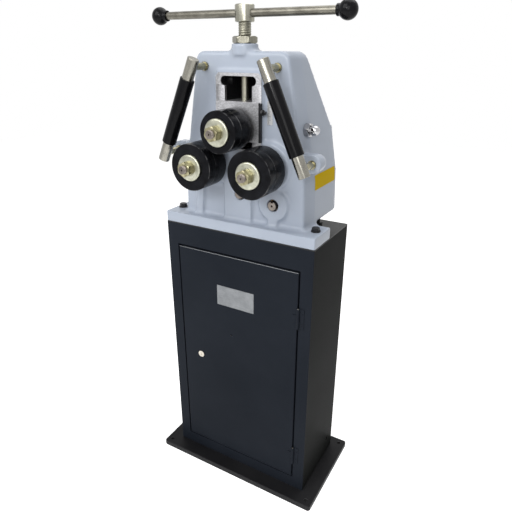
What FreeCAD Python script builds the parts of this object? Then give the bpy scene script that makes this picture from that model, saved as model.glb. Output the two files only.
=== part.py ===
import FreeCAD, Part
import math
import os

# Ring roller on a steel cabinet stand. Millimetres, +Z up, the front faces -Y.
# The origin is the centre of the floor plate's underside.

# Floor plate
plate_width = 537.0
plate_front_overhang = 44.5
plate_rear_overhang = 31.5
plate_thickness = 16.0
plate_corner_radius = 8.0
plate_edge_chamfer = 1.5
floor_hole_inset_x = 19.5
floor_hole_inset_y = 19.0
floor_hole_diameter = 12.0

# Cabinet
cabinet_width = 450.0
cabinet_depth = 227.0
cabinet_height = 782.0
sheet = 2.0
fold_radius = 4.0
front_edge_round = 1.8
foot_flange = 24.0
front_return = 14.0
opening_half_width = 191.0
opening_bottom = 53.0
opening_top = 736.0
side_vent_diameter = 12.0
side_vent_from_front = 181.0
side_vent_height = 72.0

# Door
door_gap = 4.5
door_bottom_gap = 4.0
door_top_gap = 6.0
door_proud = 1.0
door_depth = 15.0
door_sheet = 1.5
door_edge_round = 1.8
door_plug_hole = 6.0
door_plug_x = -17.5
door_plug_z = 486.0
name_plate_width = 118.0
name_plate_height = 60.0
name_plate_thickness = 1.0
name_plate_x = -2.0
name_plate_z = 608.0

# Door hinges
knuckle_radius = 4.0
knuckle_gap = 0.4
hinge_length = 58.0
hinge_leaf = 1.5
hinge_leaf_reach = 16.0
hinge_pin_radius = 2.0
hinge_pin_head = 1.5
hinge_heights = (141.0, 602.0)
hinge_x_from_opening = 1.0
rivet_radius = 2.6
rivet_height = 1.2
rivet_spread = 15.0
rivet_inset = 6.4

# Door lock
lock_x = -126.0
lock_z = 388.0
lock_flange_radius = 10.0
lock_flange_height = 2.5
lock_body_radius = 8.0
lock_rotor_radius = 5.5
lock_slot_width = 1.6
lock_slot_depth = 1.2
lock_slot_half_length = 4.0
lock_rotor_tail = 3.0
cam_width = 15.0
cam_thickness = 2.5
cam_reach = 72.0
cam_gap = 0.6

# Machine casting, with depths taken from the cabinet's front
flange_depth = 97.0
flange_thickness = 30.0
flange_corner_radius = 2.0
flange_edge_radius = 1.5
wall_depth = 34.0
pad_depth = 24.0
side_break_depth = 84.0
side_flare = 8.0
casting_rear_depth = 216.0
casting_top_rear_depth = 108.0
casting_height = 410.0
casting_knee_height = 117.0
rear_knee_height = 234.0
casting_foot_half = 178.0
casting_foot_narrowing = 4.0
casting_top_half = 124.0
underside_lift = 8.5
casting_wall = 12.0
front_wall = 26.0
casting_floor = 20.0
front_edge_radius = 9.0
top_edge_radius = 22.0
rear_slant_wall = 17.0
rear_lip = 12.0

# Cast pads, bosses and ribs on the front
frame_pad_half = 63.0
frame_pad_base_half = 65.0
frame_pad_top_margin = 7.5
frame_pad_top_slope = 4.0
centre_pad_half = 41.0
centre_pad_x = -7.0
boss_draft = 3.0
roller_boss_radius = 58.0
crank_boss_radius = 39.5
crank_boss_neck = 27.0
rib_width = 22.0
rib_foot_x = -131.0
rib_head_x = -112.0
inner_boss_radius = 32.0
crank_inner_boss_radius = 25.0
inner_boss_length = 24.0
grip_boss_radius = 22.0
grip_boss_length = 28.0
screw_boss_radius = 31.5
screw_boss_height = 16.0

# Roller axes
lower_axis_half_spacing = 82.0
lower_axis_height = 149.0
upper_axis_above_lower = 89.5

# Gear train
module = 3.0
roller_teeth = 45
idler_teeth = 30
pinion_teeth = 18
pressure_angle = 20.0
tooth_thinning = 0.25
gear_front_depth = 116.0
gear_width = 28.0
pinion_offset_x = 14.0
roller_hub_radius = 29.0
idler_hub_radius = 24.0
hub_end_gap = 0.3

# Rollers
lower_roller_radius = 57.5
upper_roller_radius = 49.0
roller_front_depth = -68.0
front_disc_width = 28.0
rear_disc_width = 45.0
disc_chamfer = 1.5
disc_joint_chamfer = 0.8
washer_radius = 32.3
washer_thickness = 8.0
washer_chamfer = 2.0
nut_across_flats = 32.0
nut_height = 19.5
thread_radius = 10.0
thread_beyond_nut = 7.0
centre_hole_radius = 3.0
centre_hole_depth = 7.0

# Shafts and bushes
roller_seat_radius = 15.0
journal_radius = 17.5
collar_radius = 24.0
rear_journal_radius = 15.0
bush_wall = 5.0
rear_bush_wall = 4.0
slide_bush_length = 30.0
running_gap = 0.05
seat_gap = 0.03
thrust_gap = 0.12
rear_bush_length = 32.0
crank_end_radius = 11.0
crank_socket_radius = 15.5
crank_socket_depth = 26.0
crank_end_proud = 3.0
crank_journal_radius = 13.0
key_width = 8.0
key_height = 7.0
key_end_margin = 4.0
key_top_gap = 0.2
crank_key_width = 6.0
crank_key_depth = 3.5
crank_key_end = 6.0

# Rear cover
cover_thickness = 8.0
cover_inset = 2.0
cover_boss_radius = 24.0
cover_blind = 2.0
cover_screw_radius = 3.0
cover_screw_head_radius = 5.0
cover_screw_head_height = 6.0
cover_screw_length = 22.0
cover_screw_inset = 7.0
cover_screw_pitch = 200.0

# Slide and its window
window_half = 38.0
lobe_half = 49.0
lobe_height = 21.5
slide_plate_half = 60.0
slide_plate_thickness = 7.5
slide_gap = 0.05
slide_above_axis = 61.5
slide_below_axis = 30.5
slide_travel_up = 50.0
slide_travel_down = 15.0
slide_end_margin = 6.0
rail_width = 14.0
rail_rear_depth = 104.0
keeper_half = 48.0
keeper_thickness = 8.0
keeper_bolt_half_spacing = 28.0
keeper_bolt_inset = 12.0
keeper_bolt_radius = 5.0
keeper_bolt_height = 5.0
ring_thickness = 2.5
ring_radius = 24.0
ring_groove_depth = 1.5
shaft_tail = 8.0
slide_edge_chamfer = 0.8
gib_width = 5.6
gib_top_gap = 2.0
gib_side_gap = 0.1
gib_screw_radius = 3.4
gib_nut_across_flats = 13.0
gib_nut_height = 6.0
gib_screw_length = 18.0
gib_screw_above_axis = 39.0

# Pressure screw and tee bar
screw_depth = 57.0
screw_radius = 15.0
screw_thread_below_window = 2.0
screw_tail_radius = 10.0
screw_tail_length = 26.0
screw_collar_radius = 13.5
screw_collar_height = 5.0
screw_keeper_height = 6.0
screw_keeper_half_x = 28.0
screw_keeper_half_y = 20.0
bush_hex_across_flats = 52.0
bush_hex_height = 16.0
bush_body_radius = 21.0
hub_radius = 22.6
hub_height = 37.0
hub_above_bush = 29.0
hub_chamfer = 2.5
screw_head_length = 7.0
bar_radius = 9.0
bar_half_length = 262.0
ball_radius = 20.8
ball_centre_x = 248.0
ball_neck_radius = 12.5
ball_neck_length = 24.0
ball_bore_depth = 32.0

# Grips
grip_axis_depth = -22.0
grip_top_x = 91.5
grip_top_z = 394.0
grip_bottom_x = 201.5
grip_bottom_z = 149.0
grip_bar_radius = 14.2
grip_end_length = 50.0
grip_sleeve_radius = 17.8
grip_stud_inset = 19.7
grip_stud_radius = 8.5
grip_stud_collar_radius = 10.5
grip_stud_collar = 5.0
grip_stud_entry = 6.0
grip_stud_hole = 16.0
grip_bar_chamfer = 2.5
grip_sleeve_round = 1.2

# Fasteners and small fittings
flange_bolt_x = 204.7
flange_bolt_depth = 50.0
flange_bolt_radius = 6.0
flange_bolt_across_flats = 18.0
flange_bolt_head = 8.0
flange_bolt_washer_radius = 12.0
flange_bolt_washer = 2.5
flange_bolt_grip = 14.0
stud_x = 155.0
stud_depth = 178.0
stud_radius = 7.0
stud_head_across_flats = 24.0
stud_head = 10.0
stud_nut = 8.0
stud_entry = 9.0
clamp_depth = 72.0
clamp_height = 239.0
clamp_nut_across_flats = 30.0
clamp_nut_height = 14.0
clamp_nut_seat = 2.0
clamp_spot_radius = 18.6
clamp_groove = 3.0
clamp_head_radius = 12.0
clamp_screw_radius = 8.0
clamp_length = 33.0
clamp_tip_gap = 0.3
scale_width = 14.0
scale_length = 54.0
scale_thickness = 1.0
scale_x = 81.5
scale_bottom = 249.0

# Levels and planes that follow from the sizes above
plate_depth = plate_front_overhang + cabinet_depth + plate_rear_overhang
front_y = plate_front_overhang - plate_depth / 2
rear_y = front_y + cabinet_depth
cabinet_top_z = plate_thickness + cabinet_height
flange_top_z = cabinet_top_z + flange_thickness
casting_top_z = flange_top_z + casting_height
wall_y = front_y + wall_depth
pad_y = front_y + pad_depth
inner_wall_y = wall_y + front_wall
casting_rear_y = front_y + casting_rear_depth
casting_knee_half = casting_foot_half - casting_foot_narrowing
lower_axis_z = flange_top_z + lower_axis_height
upper_axis_z = lower_axis_z + upper_axis_above_lower
screw_y = front_y + screw_depth
slide_top_z = upper_axis_z + slide_above_axis
slide_bottom_z = upper_axis_z - slide_below_axis
window_top_z = slide_top_z + slide_travel_up + slide_end_margin
window_bottom_z = slide_bottom_z - slide_travel_down - slide_end_margin
rail_rear_y = front_y + rail_rear_depth
roller_front_y = front_y + roller_front_depth
roller_rear_y = roller_front_y + front_disc_width + rear_disc_width
bush_rear_y = inner_wall_y + inner_boss_length
cover_boss_y = casting_rear_y - rear_bush_length - cover_blind + 2.0
bush_top_z = casting_top_z + screw_boss_height + bush_hex_height
hub_bottom_z = bush_top_z + hub_above_bush
bar_z = hub_bottom_z + hub_height / 2
hinge_x = opening_half_width - hinge_x_from_opening
hinge_y = front_y - knuckle_radius
door_front_y = front_y - door_proud
door_left = -(opening_half_width - door_gap)
door_right = opening_half_width - door_gap
door_bottom = opening_bottom + door_bottom_gap
door_top = opening_top - door_top_gap
grip_y = front_y + grip_axis_depth
cam_y = front_y + front_return + cam_gap
lock_rear_y = cam_y - thrust_gap

V = FreeCAD.Vector
X_AXIS = V(1, 0, 0)
Y_AXIS = V(0, 1, 0)
Z_AXIS = V(0, 0, 1)


def box(x0, x1, y0, y1, z0, z1):
    return Part.makeBox(x1 - x0, y1 - y0, z1 - z0, V(x0, y0, z0))


def rod_x(y, z, radius, x0, x1):
    return Part.makeCylinder(radius, x1 - x0, V(x0, y, z), X_AXIS)


def rod_y(x, z, radius, y0, y1):
    return Part.makeCylinder(radius, y1 - y0, V(x, y0, z), Y_AXIS)


def rod_z(x, y, radius, z0, z1):
    return Part.makeCylinder(radius, z1 - z0, V(x, y, z0), Z_AXIS)


def tube_y(x, z, outer, inner, y0, y1):
    return rod_y(x, z, outer, y0, y1).cut(rod_y(x, z, inner, y0 - 1, y1 + 1))


def joined(shapes):
    first = shapes[0]
    return first.fuse(shapes[1:]).removeSplitter()


def polygon(points):
    return Part.makePolygon(points + [points[0]])


def prism(points, direction):
    return Part.Face(polygon(points)).extrude(direction)


def stacked(sections):
    """A solid with flat faces through matching polygons, from the first to the last."""
    faces = [Part.Face(polygon(sections[0])), Part.Face(polygon(sections[-1]))]
    for low, high in zip(sections, sections[1:]):
        for place in range(len(low)):
            following = (place + 1) % len(low)
            faces.append(Part.Face(polygon([low[place], low[following], high[following], high[place]])))
    solid = Part.Solid(Part.Shell(faces))
    if solid.Volume < 0:
        solid.reverse()
    return solid.removeSplitter()


def hexagon(centre, axis, across_flats, height):
    """A hexagonal prism with its corners broken on both ends."""
    corner = across_flats / math.sqrt(3)
    points = []
    for step in range(6):
        angle = math.radians(60 * step + 30)
        points.append(V(corner * math.cos(angle), corner * math.sin(angle), 0))
    solid = prism(points, V(0, 0, height))
    bevel = (corner - across_flats / 2) * 0.9
    rounder = Part.makeCone(corner - bevel, corner + height, bevel + height)
    upper = rounder.copy()
    upper.rotate(V(0, 0, 0), X_AXIS, 180)
    upper.translate(V(0, 0, height))
    solid = solid.common(rounder).common(upper)
    solid.Placement = FreeCAD.Placement(centre, FreeCAD.Rotation(Z_AXIS, axis))
    return solid


def stepped_shaft(x, z, steps):
    """Coaxial cylinders along Y, each given as a radius and its two ends."""
    parts = []
    for radius, y0, y1 in steps:
        parts.append(rod_y(x, z, radius, y0, y1))
    return joined(parts)


def chamfered_disc(x, z, outer, inner, y0, y1, front_break, rear_break):
    points = [
        V(x + inner, y0, z),
        V(x + outer - front_break, y0, z),
        V(x + outer, y0 + front_break, z),
        V(x + outer, y1 - rear_break, z),
        V(x + outer - rear_break, y1, z),
        V(x + inner, y1, z),
    ]
    return Part.Face(polygon(points)).revolve(V(x, 0, z), Y_AXIS, 360)


def half_width(height):
    """Front half width of the casting at a height above its flange."""
    if height <= casting_knee_height:
        share = height / casting_knee_height
        return casting_foot_half + (casting_knee_half - casting_foot_half) * share
    share = (height - casting_knee_height) / (casting_height - casting_knee_height)
    return casting_knee_half + (casting_top_half - casting_knee_half) * share


def rear_depth(height):
    """Depth of the casting's rear wall at a height above its flange."""
    if height <= rear_knee_height:
        return casting_rear_depth
    share = (height - rear_knee_height) / (casting_height - rear_knee_height)
    return casting_rear_depth + (casting_top_rear_depth - casting_rear_depth) * share


def casting_section(height):
    half = half_width(height)
    side = half + side_flare
    rear = front_y + rear_depth(height)
    side_break = front_y + side_break_depth
    z = flange_top_z + height
    points = [
        V(-half, wall_y, z),
        V(half, wall_y, z),
        V(side, side_break, z),
        V(side, rear, z),
        V(-side, rear, z),
        V(-side, side_break, z),
    ]
    return points


def cavity_section(height):
    half = half_width(height) - casting_wall
    rear = front_y + rear_depth(height)
    if height > rear_knee_height:
        rear = rear - rear_slant_wall
    z = flange_top_z + height
    return [V(-half, inner_wall_y, z), V(half, inner_wall_y, z), V(half, rear, z), V(-half, rear, z)]


def frustum_pad(half_front, half_back, z0, z1, slope):
    """A raised rectangular pad on the front wall, with sloping sides."""
    front = [
        V(-half_front, pad_y, z0),
        V(half_front, pad_y, z0),
        V(half_front, pad_y, z1),
        V(-half_front, pad_y, z1),
    ]
    back = [
        V(-half_back, wall_y + 1, z0),
        V(half_back, wall_y + 1, z0),
        V(half_back, wall_y + 1, z1 + slope),
        V(-half_back, wall_y + 1, z1 + slope),
    ]
    return stacked([front, back])


def drafted_boss(x, z, radius):
    """A round boss that stands on the front wall, wider at its root."""
    height = wall_y + 1 - pad_y
    return Part.makeCone(radius, radius + boss_draft, height, V(x, pad_y, z), Y_AXIS)


# Gear positions: the idler meshes with both roller gears, the pinion with the right one
roller_pitch = module * roller_teeth / 2
idler_pitch = module * idler_teeth / 2
pinion_pitch = module * pinion_teeth / 2
idler_drop = math.sqrt((roller_pitch + idler_pitch) ** 2 - lower_axis_half_spacing ** 2)
idler_z = lower_axis_z - idler_drop
pinion_x = lower_axis_half_spacing + pinion_offset_x
pinion_drop = math.sqrt((roller_pitch + pinion_pitch) ** 2 - pinion_offset_x ** 2)
pinion_z = lower_axis_z - pinion_drop
left_axis = (-lower_axis_half_spacing, lower_axis_z)
right_axis = (lower_axis_half_spacing, lower_axis_z)
upper_axis = (0.0, upper_axis_z)
idler_axis = (0.0, idler_z)
pinion_axis = (pinion_x, pinion_z)
gear_y0 = front_y + gear_front_depth
gear_y1 = gear_y0 + gear_width
hub_front_y = bush_rear_y + hub_end_gap
hub_rear_y = cover_boss_y - hub_end_gap


def bearing(start, end):
    """Direction in the XZ plane from one axis to another, in radians."""
    return math.atan2(end[1] - start[1], end[0] - start[0])


def meshed_phase(teeth, phase, towards, other_teeth):
    """Phase of a gear that meshes with one whose tooth phase is known."""
    turn = teeth * (towards - phase)
    return towards + math.pi - (math.pi - turn) / other_teeth


right_phase = bearing(right_axis, idler_axis)
idler_phase = meshed_phase(roller_teeth, right_phase, bearing(right_axis, idler_axis), idler_teeth)
left_phase = meshed_phase(idler_teeth, idler_phase, bearing(idler_axis, left_axis), roller_teeth)
pinion_phase = meshed_phase(roller_teeth, right_phase, bearing(right_axis, pinion_axis), pinion_teeth)


def gear_blank(teeth, phase, axis):
    """A spur gear's toothed rim: involute flanks as arcs through three points."""
    pitch = module * teeth / 2
    tip = pitch + module
    root = pitch - 1.25 * module
    base = pitch * math.cos(math.radians(pressure_angle))
    slope = math.radians(pressure_angle)
    half_tooth = math.pi / (2 * teeth) - tooth_thinning / (2 * pitch)

    def flank_angle(radius):
        if radius <= base:
            return half_tooth + math.tan(slope) - slope
        lean = math.acos(base / radius)
        return half_tooth + math.tan(slope) - slope - (math.tan(lean) - lean)

    def point(radius, angle):
        return V(axis[0] + radius * math.cos(angle), gear_y0, axis[1] + radius * math.sin(angle))

    start = max(base, root)
    middle = (start + tip) / 2
    edges = []
    for tooth in range(teeth):
        centre = phase + 2 * math.pi * tooth / teeth
        following = centre + 2 * math.pi / teeth
        low = flank_angle(start)
        high = flank_angle(tip)
        rising = [point(start, centre - low), point(middle, centre - flank_angle(middle))]
        rising.append(point(tip, centre - high))
        falling = [point(tip, centre + high), point(middle, centre + flank_angle(middle))]
        falling.append(point(start, centre + low))
        edges.append(Part.Arc(*rising).toShape())
        edges.append(Part.Arc(rising[2], point(tip, centre), falling[0]).toShape())
        edges.append(Part.Arc(*falling).toShape())
        valley = [point(root, centre + low), point(root, (centre + following) / 2)]
        valley.append(point(root, following - low))
        if start > root:
            edges.append(Part.LineSegment(falling[2], valley[0]).toShape())
        edges.append(Part.Arc(*valley).toShape())
        if start > root:
            edges.append(Part.LineSegment(valley[2], point(start, following - low)).toShape())
    outline = Part.Wire(Part.__sortEdges__(edges))
    return Part.Face(outline).extrude(V(0, gear_width, 0))


def floor_plate():
    half = plate_width / 2
    solid = box(-half, half, -plate_depth / 2, plate_depth / 2, 0, plate_thickness)
    corners = [edge for edge in solid.Edges if abs(edge.BoundBox.ZLength - plate_thickness) < 0.01]
    solid = solid.makeFillet(plate_corner_radius, corners)
    rims = [edge for edge in solid.Edges if edge.BoundBox.ZMin > plate_thickness - 0.01]
    solid = solid.makeChamfer(plate_edge_chamfer, rims)
    for side_x in (-1, 1):
        for side_y in (-1, 1):
            x = side_x * (half - floor_hole_inset_x)
            y = side_y * (plate_depth / 2 - floor_hole_inset_y)
            solid = solid.cut(rod_z(x, y, floor_hole_diameter / 2, -1, plate_thickness + 1))
    return solid


def rounded_uprights(solid, radius, y):
    """The solid with the upright edges that lie at a given depth rounded."""
    uprights = []
    for edge in solid.Edges:
        span = edge.BoundBox
        if span.XLength + span.YLength < 0.01 and abs(span.YMin - y) < 0.01:
            uprights.append(edge)
    return solid.makeFillet(radius, uprights)


def cabinet_wrap():
    """One folded sheet: left side, back and right side, with turned-in feet."""
    half = cabinet_width / 2
    z0 = plate_thickness
    z1 = cabinet_top_z - sheet
    y0 = front_y + sheet
    solid = rounded_uprights(box(-half, half, y0, rear_y, z0, z1), fold_radius, rear_y)
    hollow = box(-half + sheet, half - sheet, y0 - 1, rear_y - sheet, z0 - 1, z1 + 1)
    solid = solid.cut(rounded_uprights(hollow, fold_radius - sheet, rear_y - sheet))
    feet = [
        box(-half + 1, -half + foot_flange, y0, rear_y - fold_radius, z0, z0 + sheet),
        box(half - foot_flange, half - 1, y0, rear_y - fold_radius, z0, z0 + sheet),
        box(-half + fold_radius, half - fold_radius, rear_y - foot_flange, rear_y - 1, z0, z0 + sheet),
    ]
    solid = joined([solid] + feet)
    vent_y = front_y + side_vent_from_front
    vent = rod_x(vent_y, side_vent_height, side_vent_diameter / 2, half - 5, half + 5)
    return solid.cut(vent)


def cabinet_front():
    """The front frame, with a return all round the door opening."""
    half = cabinet_width / 2
    y1 = front_y + sheet
    plate = box(-half, half, front_y, y1, plate_thickness, cabinet_top_z - sheet)
    plate = rounded_uprights(plate, front_edge_round, front_y)
    edge = opening_half_width
    collar = box(-edge - sheet, edge + sheet, y1, front_y + front_return,
                 opening_bottom - sheet, opening_top + sheet)
    frame = joined([plate, collar])
    return frame.cut(box(-edge, edge, front_y - 1, front_y + front_return + 1, opening_bottom, opening_top))


def cabinet_top():
    half = cabinet_width / 2
    solid = box(-half, half, front_y, rear_y, cabinet_top_z - sheet, cabinet_top_z)
    solid = rounded_uprights(rounded_uprights(solid, fold_radius, rear_y), front_edge_round, front_y)
    for side in (-1, 1):
        bolt = rod_z(side * flange_bolt_x, front_y + flange_bolt_depth, flange_bolt_radius + 0.5,
                     cabinet_top_z - 5, cabinet_top_z + 5)
        solid = solid.cut(bolt)
    return solid


def door_panel():
    """Folded steel door with returned edges on all four sides."""
    y0 = door_front_y
    shell = box(door_left, door_right, y0, y0 + door_depth, door_bottom, door_top)
    rims = [edge for edge in shell.Edges if edge.BoundBox.YMax < y0 + 0.01]
    shell = shell.makeFillet(door_edge_round, rims)
    hollow = box(door_left + door_sheet, door_right - door_sheet, y0 + door_sheet, y0 + door_depth + 1,
                 door_bottom + door_sheet, door_top - door_sheet)
    shell = shell.cut(hollow)
    shell = shell.cut(rod_y(door_plug_x, door_plug_z, door_plug_hole / 2, y0 - 1, y0 + 5))
    return shell.cut(rod_y(lock_x, lock_z, lock_body_radius + 0.1, y0 - 1, y0 + 5))


def name_plate():
    half = name_plate_width / 2
    return box(name_plate_x - half, name_plate_x + half, door_front_y - name_plate_thickness, door_front_y,
               name_plate_z - name_plate_height / 2, name_plate_z + name_plate_height / 2)


def hinge_leaves(on_door):
    """Two leaves: the frame carries the outer knuckles, the door the middle one."""
    leaves = []
    third = hinge_length / 3
    bore = hinge_pin_radius + running_gap
    for height in hinge_heights:
        z0 = height - hinge_length / 2
        if on_door:
            spans = [(z0 + third + knuckle_gap, z0 + 2 * third - knuckle_gap)]
            x0, x1 = hinge_x - hinge_leaf_reach, hinge_x
            y0, y1 = door_front_y - hinge_leaf, door_front_y
        else:
            spans = [(z0, z0 + third), (z0 + 2 * third, z0 + hinge_length)]
            x0, x1 = hinge_x, hinge_x + hinge_leaf_reach
            y0, y1 = front_y - hinge_leaf, front_y
        pieces = []
        for low, high in spans:
            pieces.append(rod_z(hinge_x, hinge_y, knuckle_radius, low, high))
            pieces.append(box(x0, x1, y0, y1, low, high))
        if not on_door:
            pieces.append(box(hinge_x + knuckle_radius + 1, x1, y0, y1, z0, z0 + hinge_length))
            for side in (-1, 1):
                rivet_x = hinge_x + hinge_leaf_reach - rivet_inset
                rivet_z = height + side * rivet_spread
                pieces.append(rod_y(rivet_x, rivet_z, rivet_radius, y0 - rivet_height, y0))
        leaf = joined(pieces)
        leaves.append(leaf.cut(rod_z(hinge_x, hinge_y, bore, z0 - 1, z0 + hinge_length + 1)))
    return Part.makeCompound(leaves)


def hinge_pins():
    pins = []
    for height in hinge_heights:
        z0 = height - hinge_length / 2
        pin = rod_z(hinge_x, hinge_y, hinge_pin_radius, z0, z0 + hinge_length)
        head = rod_z(hinge_x, hinge_y, hinge_pin_radius + 1, z0 + hinge_length,
                     z0 + hinge_length + hinge_pin_head)
        pins.append(joined([pin, head]))
    return Part.makeCompound(pins)


def lock_housing():
    y0 = door_front_y
    flange = rod_y(lock_x, lock_z, lock_flange_radius, y0 - lock_flange_height, y0)
    barrel = rod_y(lock_x, lock_z, lock_body_radius, y0 - 1, lock_rear_y)
    bore = rod_y(lock_x, lock_z, lock_rotor_radius + running_gap, y0 - 5, lock_rear_y + 5)
    return joined([flange, barrel]).cut(bore)


def lock_rotor():
    y0 = door_front_y - lock_flange_height
    y1 = cam_y + cam_thickness + lock_rotor_tail
    rotor = rod_y(lock_x, lock_z, lock_rotor_radius, y0, y1)
    half = lock_slot_width / 2
    slot = box(lock_x - half, lock_x + half, y0 - 1, y0 + lock_slot_depth,
               lock_z - lock_slot_half_length, lock_z + lock_slot_half_length)
    return rotor.cut(slot)


def lock_cam():
    """The cam hangs down when the door is free, and turns behind the frame."""
    y0 = cam_y
    y1 = y0 + cam_thickness
    half = cam_width / 2
    bar = box(lock_x - half, lock_x + half, y0, y1, lock_z - cam_reach + half, lock_z)
    ends = [rod_y(lock_x, lock_z, half, y0, y1), rod_y(lock_x, lock_z - cam_reach + half, half, y0, y1)]
    cam = joined([bar] + ends)
    return cam.cut(rod_y(lock_x, lock_z, lock_rotor_radius + seat_gap, y0 - 1, y1 + 1))


def grip_axis(side):
    """The slanting axis of a grip: its top end, direction and length."""
    top = V(side * grip_top_x, grip_y, flange_top_z + grip_top_z)
    bottom = V(side * grip_bottom_x, grip_y, flange_top_z + grip_bottom_z)
    run = bottom - top
    length = run.Length
    run.normalize()
    return top, run, length


def grip_stud_points(side):
    top, run, length = grip_axis(side)
    return [top + run * grip_stud_inset, top + run * (length - grip_stud_inset)]


def machine_casting():
    """The cast housing: foot flange, tapering hollow body, pads, bosses and slideway."""
    heights = [0.0, casting_knee_height, rear_knee_height, casting_height]
    body = stacked([casting_section(height) for height in heights])
    shoulders = []
    for edge in body.Edges:
        span = edge.BoundBox
        if span.ZMin > casting_top_z - 0.01 and span.XLength < top_edge_radius:
            shoulders.append(edge)
    body = body.makeFillet(top_edge_radius, shoulders)
    rims = []
    for edge in body.Edges:
        span = edge.BoundBox
        if span.YMax < wall_y + 0.01 and span.ZMax > flange_top_z + 1:
            rims.append(edge)
    body = body.makeFillet(front_edge_radius, rims)
    flange = box(-cabinet_width / 2, cabinet_width / 2, front_y, front_y + flange_depth,
                 cabinet_top_z, flange_top_z)
    corners = [edge for edge in flange.Edges if abs(edge.BoundBox.ZLength - flange_thickness) < 0.01]
    flange = flange.makeFillet(flange_corner_radius, corners)
    rims = [edge for edge in flange.Edges if edge.BoundBox.ZMin > flange_top_z - 0.01]
    flange = flange.makeFillet(flange_edge_radius, rims)
    additions = [body, flange]
    additions.append(frustum_pad(frame_pad_half, frame_pad_base_half, window_bottom_z - 4,
                                 window_top_z + frame_pad_top_margin, frame_pad_top_slope))
    additions.append(box(centre_pad_x - centre_pad_half, centre_pad_x + centre_pad_half, pad_y, wall_y + 1,
                         flange_top_z, window_bottom_z))
    for x, z in (left_axis, right_axis):
        additions.append(drafted_boss(x, z, roller_boss_radius))
    additions.append(drafted_boss(pinion_x, pinion_z, crank_boss_radius))
    neck = crank_boss_neck / 2
    additions.append(box(pinion_x - neck, pinion_x + neck, pad_y, wall_y + 1, flange_top_z, pinion_z))
    half_rib = rib_width / 2
    rib = [
        V(rib_foot_x - half_rib, pad_y, flange_top_z),
        V(rib_foot_x + half_rib, pad_y, flange_top_z),
        V(rib_head_x + half_rib, pad_y, lower_axis_z),
        V(rib_head_x - half_rib, pad_y, lower_axis_z),
    ]
    additions.append(prism(rib, V(0, wall_depth - pad_depth + 1, 0)))
    for side in (-1, 1):
        stud = grip_stud_points(side)[1]
        reach = wall_y + grip_boss_length
        additions.append(rod_y(stud.x, stud.z, grip_boss_radius, wall_y, reach))
        additions.append(Part.makeSphere(grip_boss_radius, V(stud.x, reach, stud.z)))
        web = sorted((side * (casting_knee_half - grip_boss_radius), stud.x))
        additions.append(box(web[0], web[1], wall_y, reach,
                             stud.z - grip_boss_radius, stud.z + grip_boss_radius))
    additions.append(rod_z(0, screw_y, screw_boss_radius, casting_top_z - front_edge_radius,
                           casting_top_z + screw_boss_height))
    solid = joined(additions)
    far = casting_rear_y + 5
    below = flange_top_z - 1
    gap = box(-cabinet_width, cabinet_width, front_y + flange_depth, far,
              below, flange_top_z + underside_lift)
    solid = solid.cut(gap)
    levels = [casting_floor, casting_knee_height, rear_knee_height - rear_lip, rear_knee_height + 0.01,
              window_top_z - flange_top_z]
    cavity = stacked([cavity_section(height) for height in levels])
    rear_half = half_width(rear_knee_height) - casting_wall
    mouth = box(-rear_half, rear_half, casting_rear_y - 20, casting_rear_y + 1,
                flange_top_z + casting_floor, flange_top_z + rear_knee_height - rear_lip)
    solid = solid.cut(cavity).cut(mouth)
    inside = []
    for side in (-1, 1):
        rail = sorted((side * window_half, side * (window_half + rail_width)))
        inside.append(box(rail[0], rail[1], inner_wall_y - 1, rail_rear_y,
                          window_bottom_z, window_top_z + 1))
    for x, z in (left_axis, right_axis):
        inside.append(rod_y(x, z, inner_boss_radius, inner_wall_y - 1, bush_rear_y))
    for x, z in (idler_axis, pinion_axis):
        inside.append(rod_y(x, z, crank_inner_boss_radius, inner_wall_y - 1, bush_rear_y))
    solid = joined([solid] + inside)
    window = box(-window_half, window_half, front_y, rail_rear_y + 1, window_bottom_z, window_top_z)
    lobes = []
    lobe_radius = lobe_height / 2
    for side in (-1, 1):
        lobes.append(rod_y(side * (lobe_half - lobe_radius), window_top_z - lobe_radius, lobe_radius,
                           front_y, inner_wall_y + 1))
    lobes.append(box(-lobe_half + lobe_radius, lobe_half - lobe_radius, front_y, inner_wall_y + 1,
                     window_top_z - lobe_height, window_top_z))
    solid = solid.cut([window] + lobes)
    bores = []
    for x, z in (left_axis, right_axis):
        bores.append(rod_y(x, z, journal_radius + bush_wall + seat_gap, front_y, bush_rear_y + 1))
    for x, z in (idler_axis, pinion_axis):
        bores.append(rod_y(x, z, crank_socket_radius, front_y, pad_y + crank_socket_depth))
        bores.append(rod_y(x, z, crank_journal_radius + rear_bush_wall + seat_gap,
                           pad_y + crank_socket_depth, bush_rear_y + 1))
        notch = crank_key_width / 2
        bores.append(box(x - notch, x + notch, front_y, pad_y + crank_socket_depth,
                         z, z + crank_socket_radius + 2.0))
    bores.append(rod_z(0, screw_y, bush_body_radius + seat_gap, window_top_z - 1, casting_top_z + 40))
    for side in (-1, 1):
        bores.append(rod_z(side * flange_bolt_x, front_y + flange_bolt_depth, flange_bolt_radius + 0.5,
                           cabinet_top_z - 5, flange_top_z + 5))
        bores.append(rod_z(side * stud_x, front_y + stud_depth, stud_radius + seat_gap,
                           cabinet_top_z, flange_top_z + underside_lift + stud_entry))
        for stud in grip_stud_points(side):
            bores.append(rod_y(stud.x, stud.z, grip_stud_radius + seat_gap, wall_y - 1, wall_y + grip_stud_hole))
    for place in cover_screw_places():
        bores.append(rod_y(place.x, place.z, cover_screw_radius + seat_gap,
                           casting_rear_y + cover_thickness - cover_screw_length - 1, casting_rear_y + 1))
    return solid.cut(bores + clamp_hole())


def cover_outline(inset):
    """The rear cover's edge, which follows the casting's sides."""
    low = underside_lift + inset
    high = rear_knee_height - inset
    points = []
    for height in (low, casting_knee_height, high):
        points.append(V(half_width(height) + side_flare - inset, casting_rear_y, flange_top_z + height))
    mirrored = [V(-point.x, point.y, point.z) for point in reversed(points)]
    return points + mirrored


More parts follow.
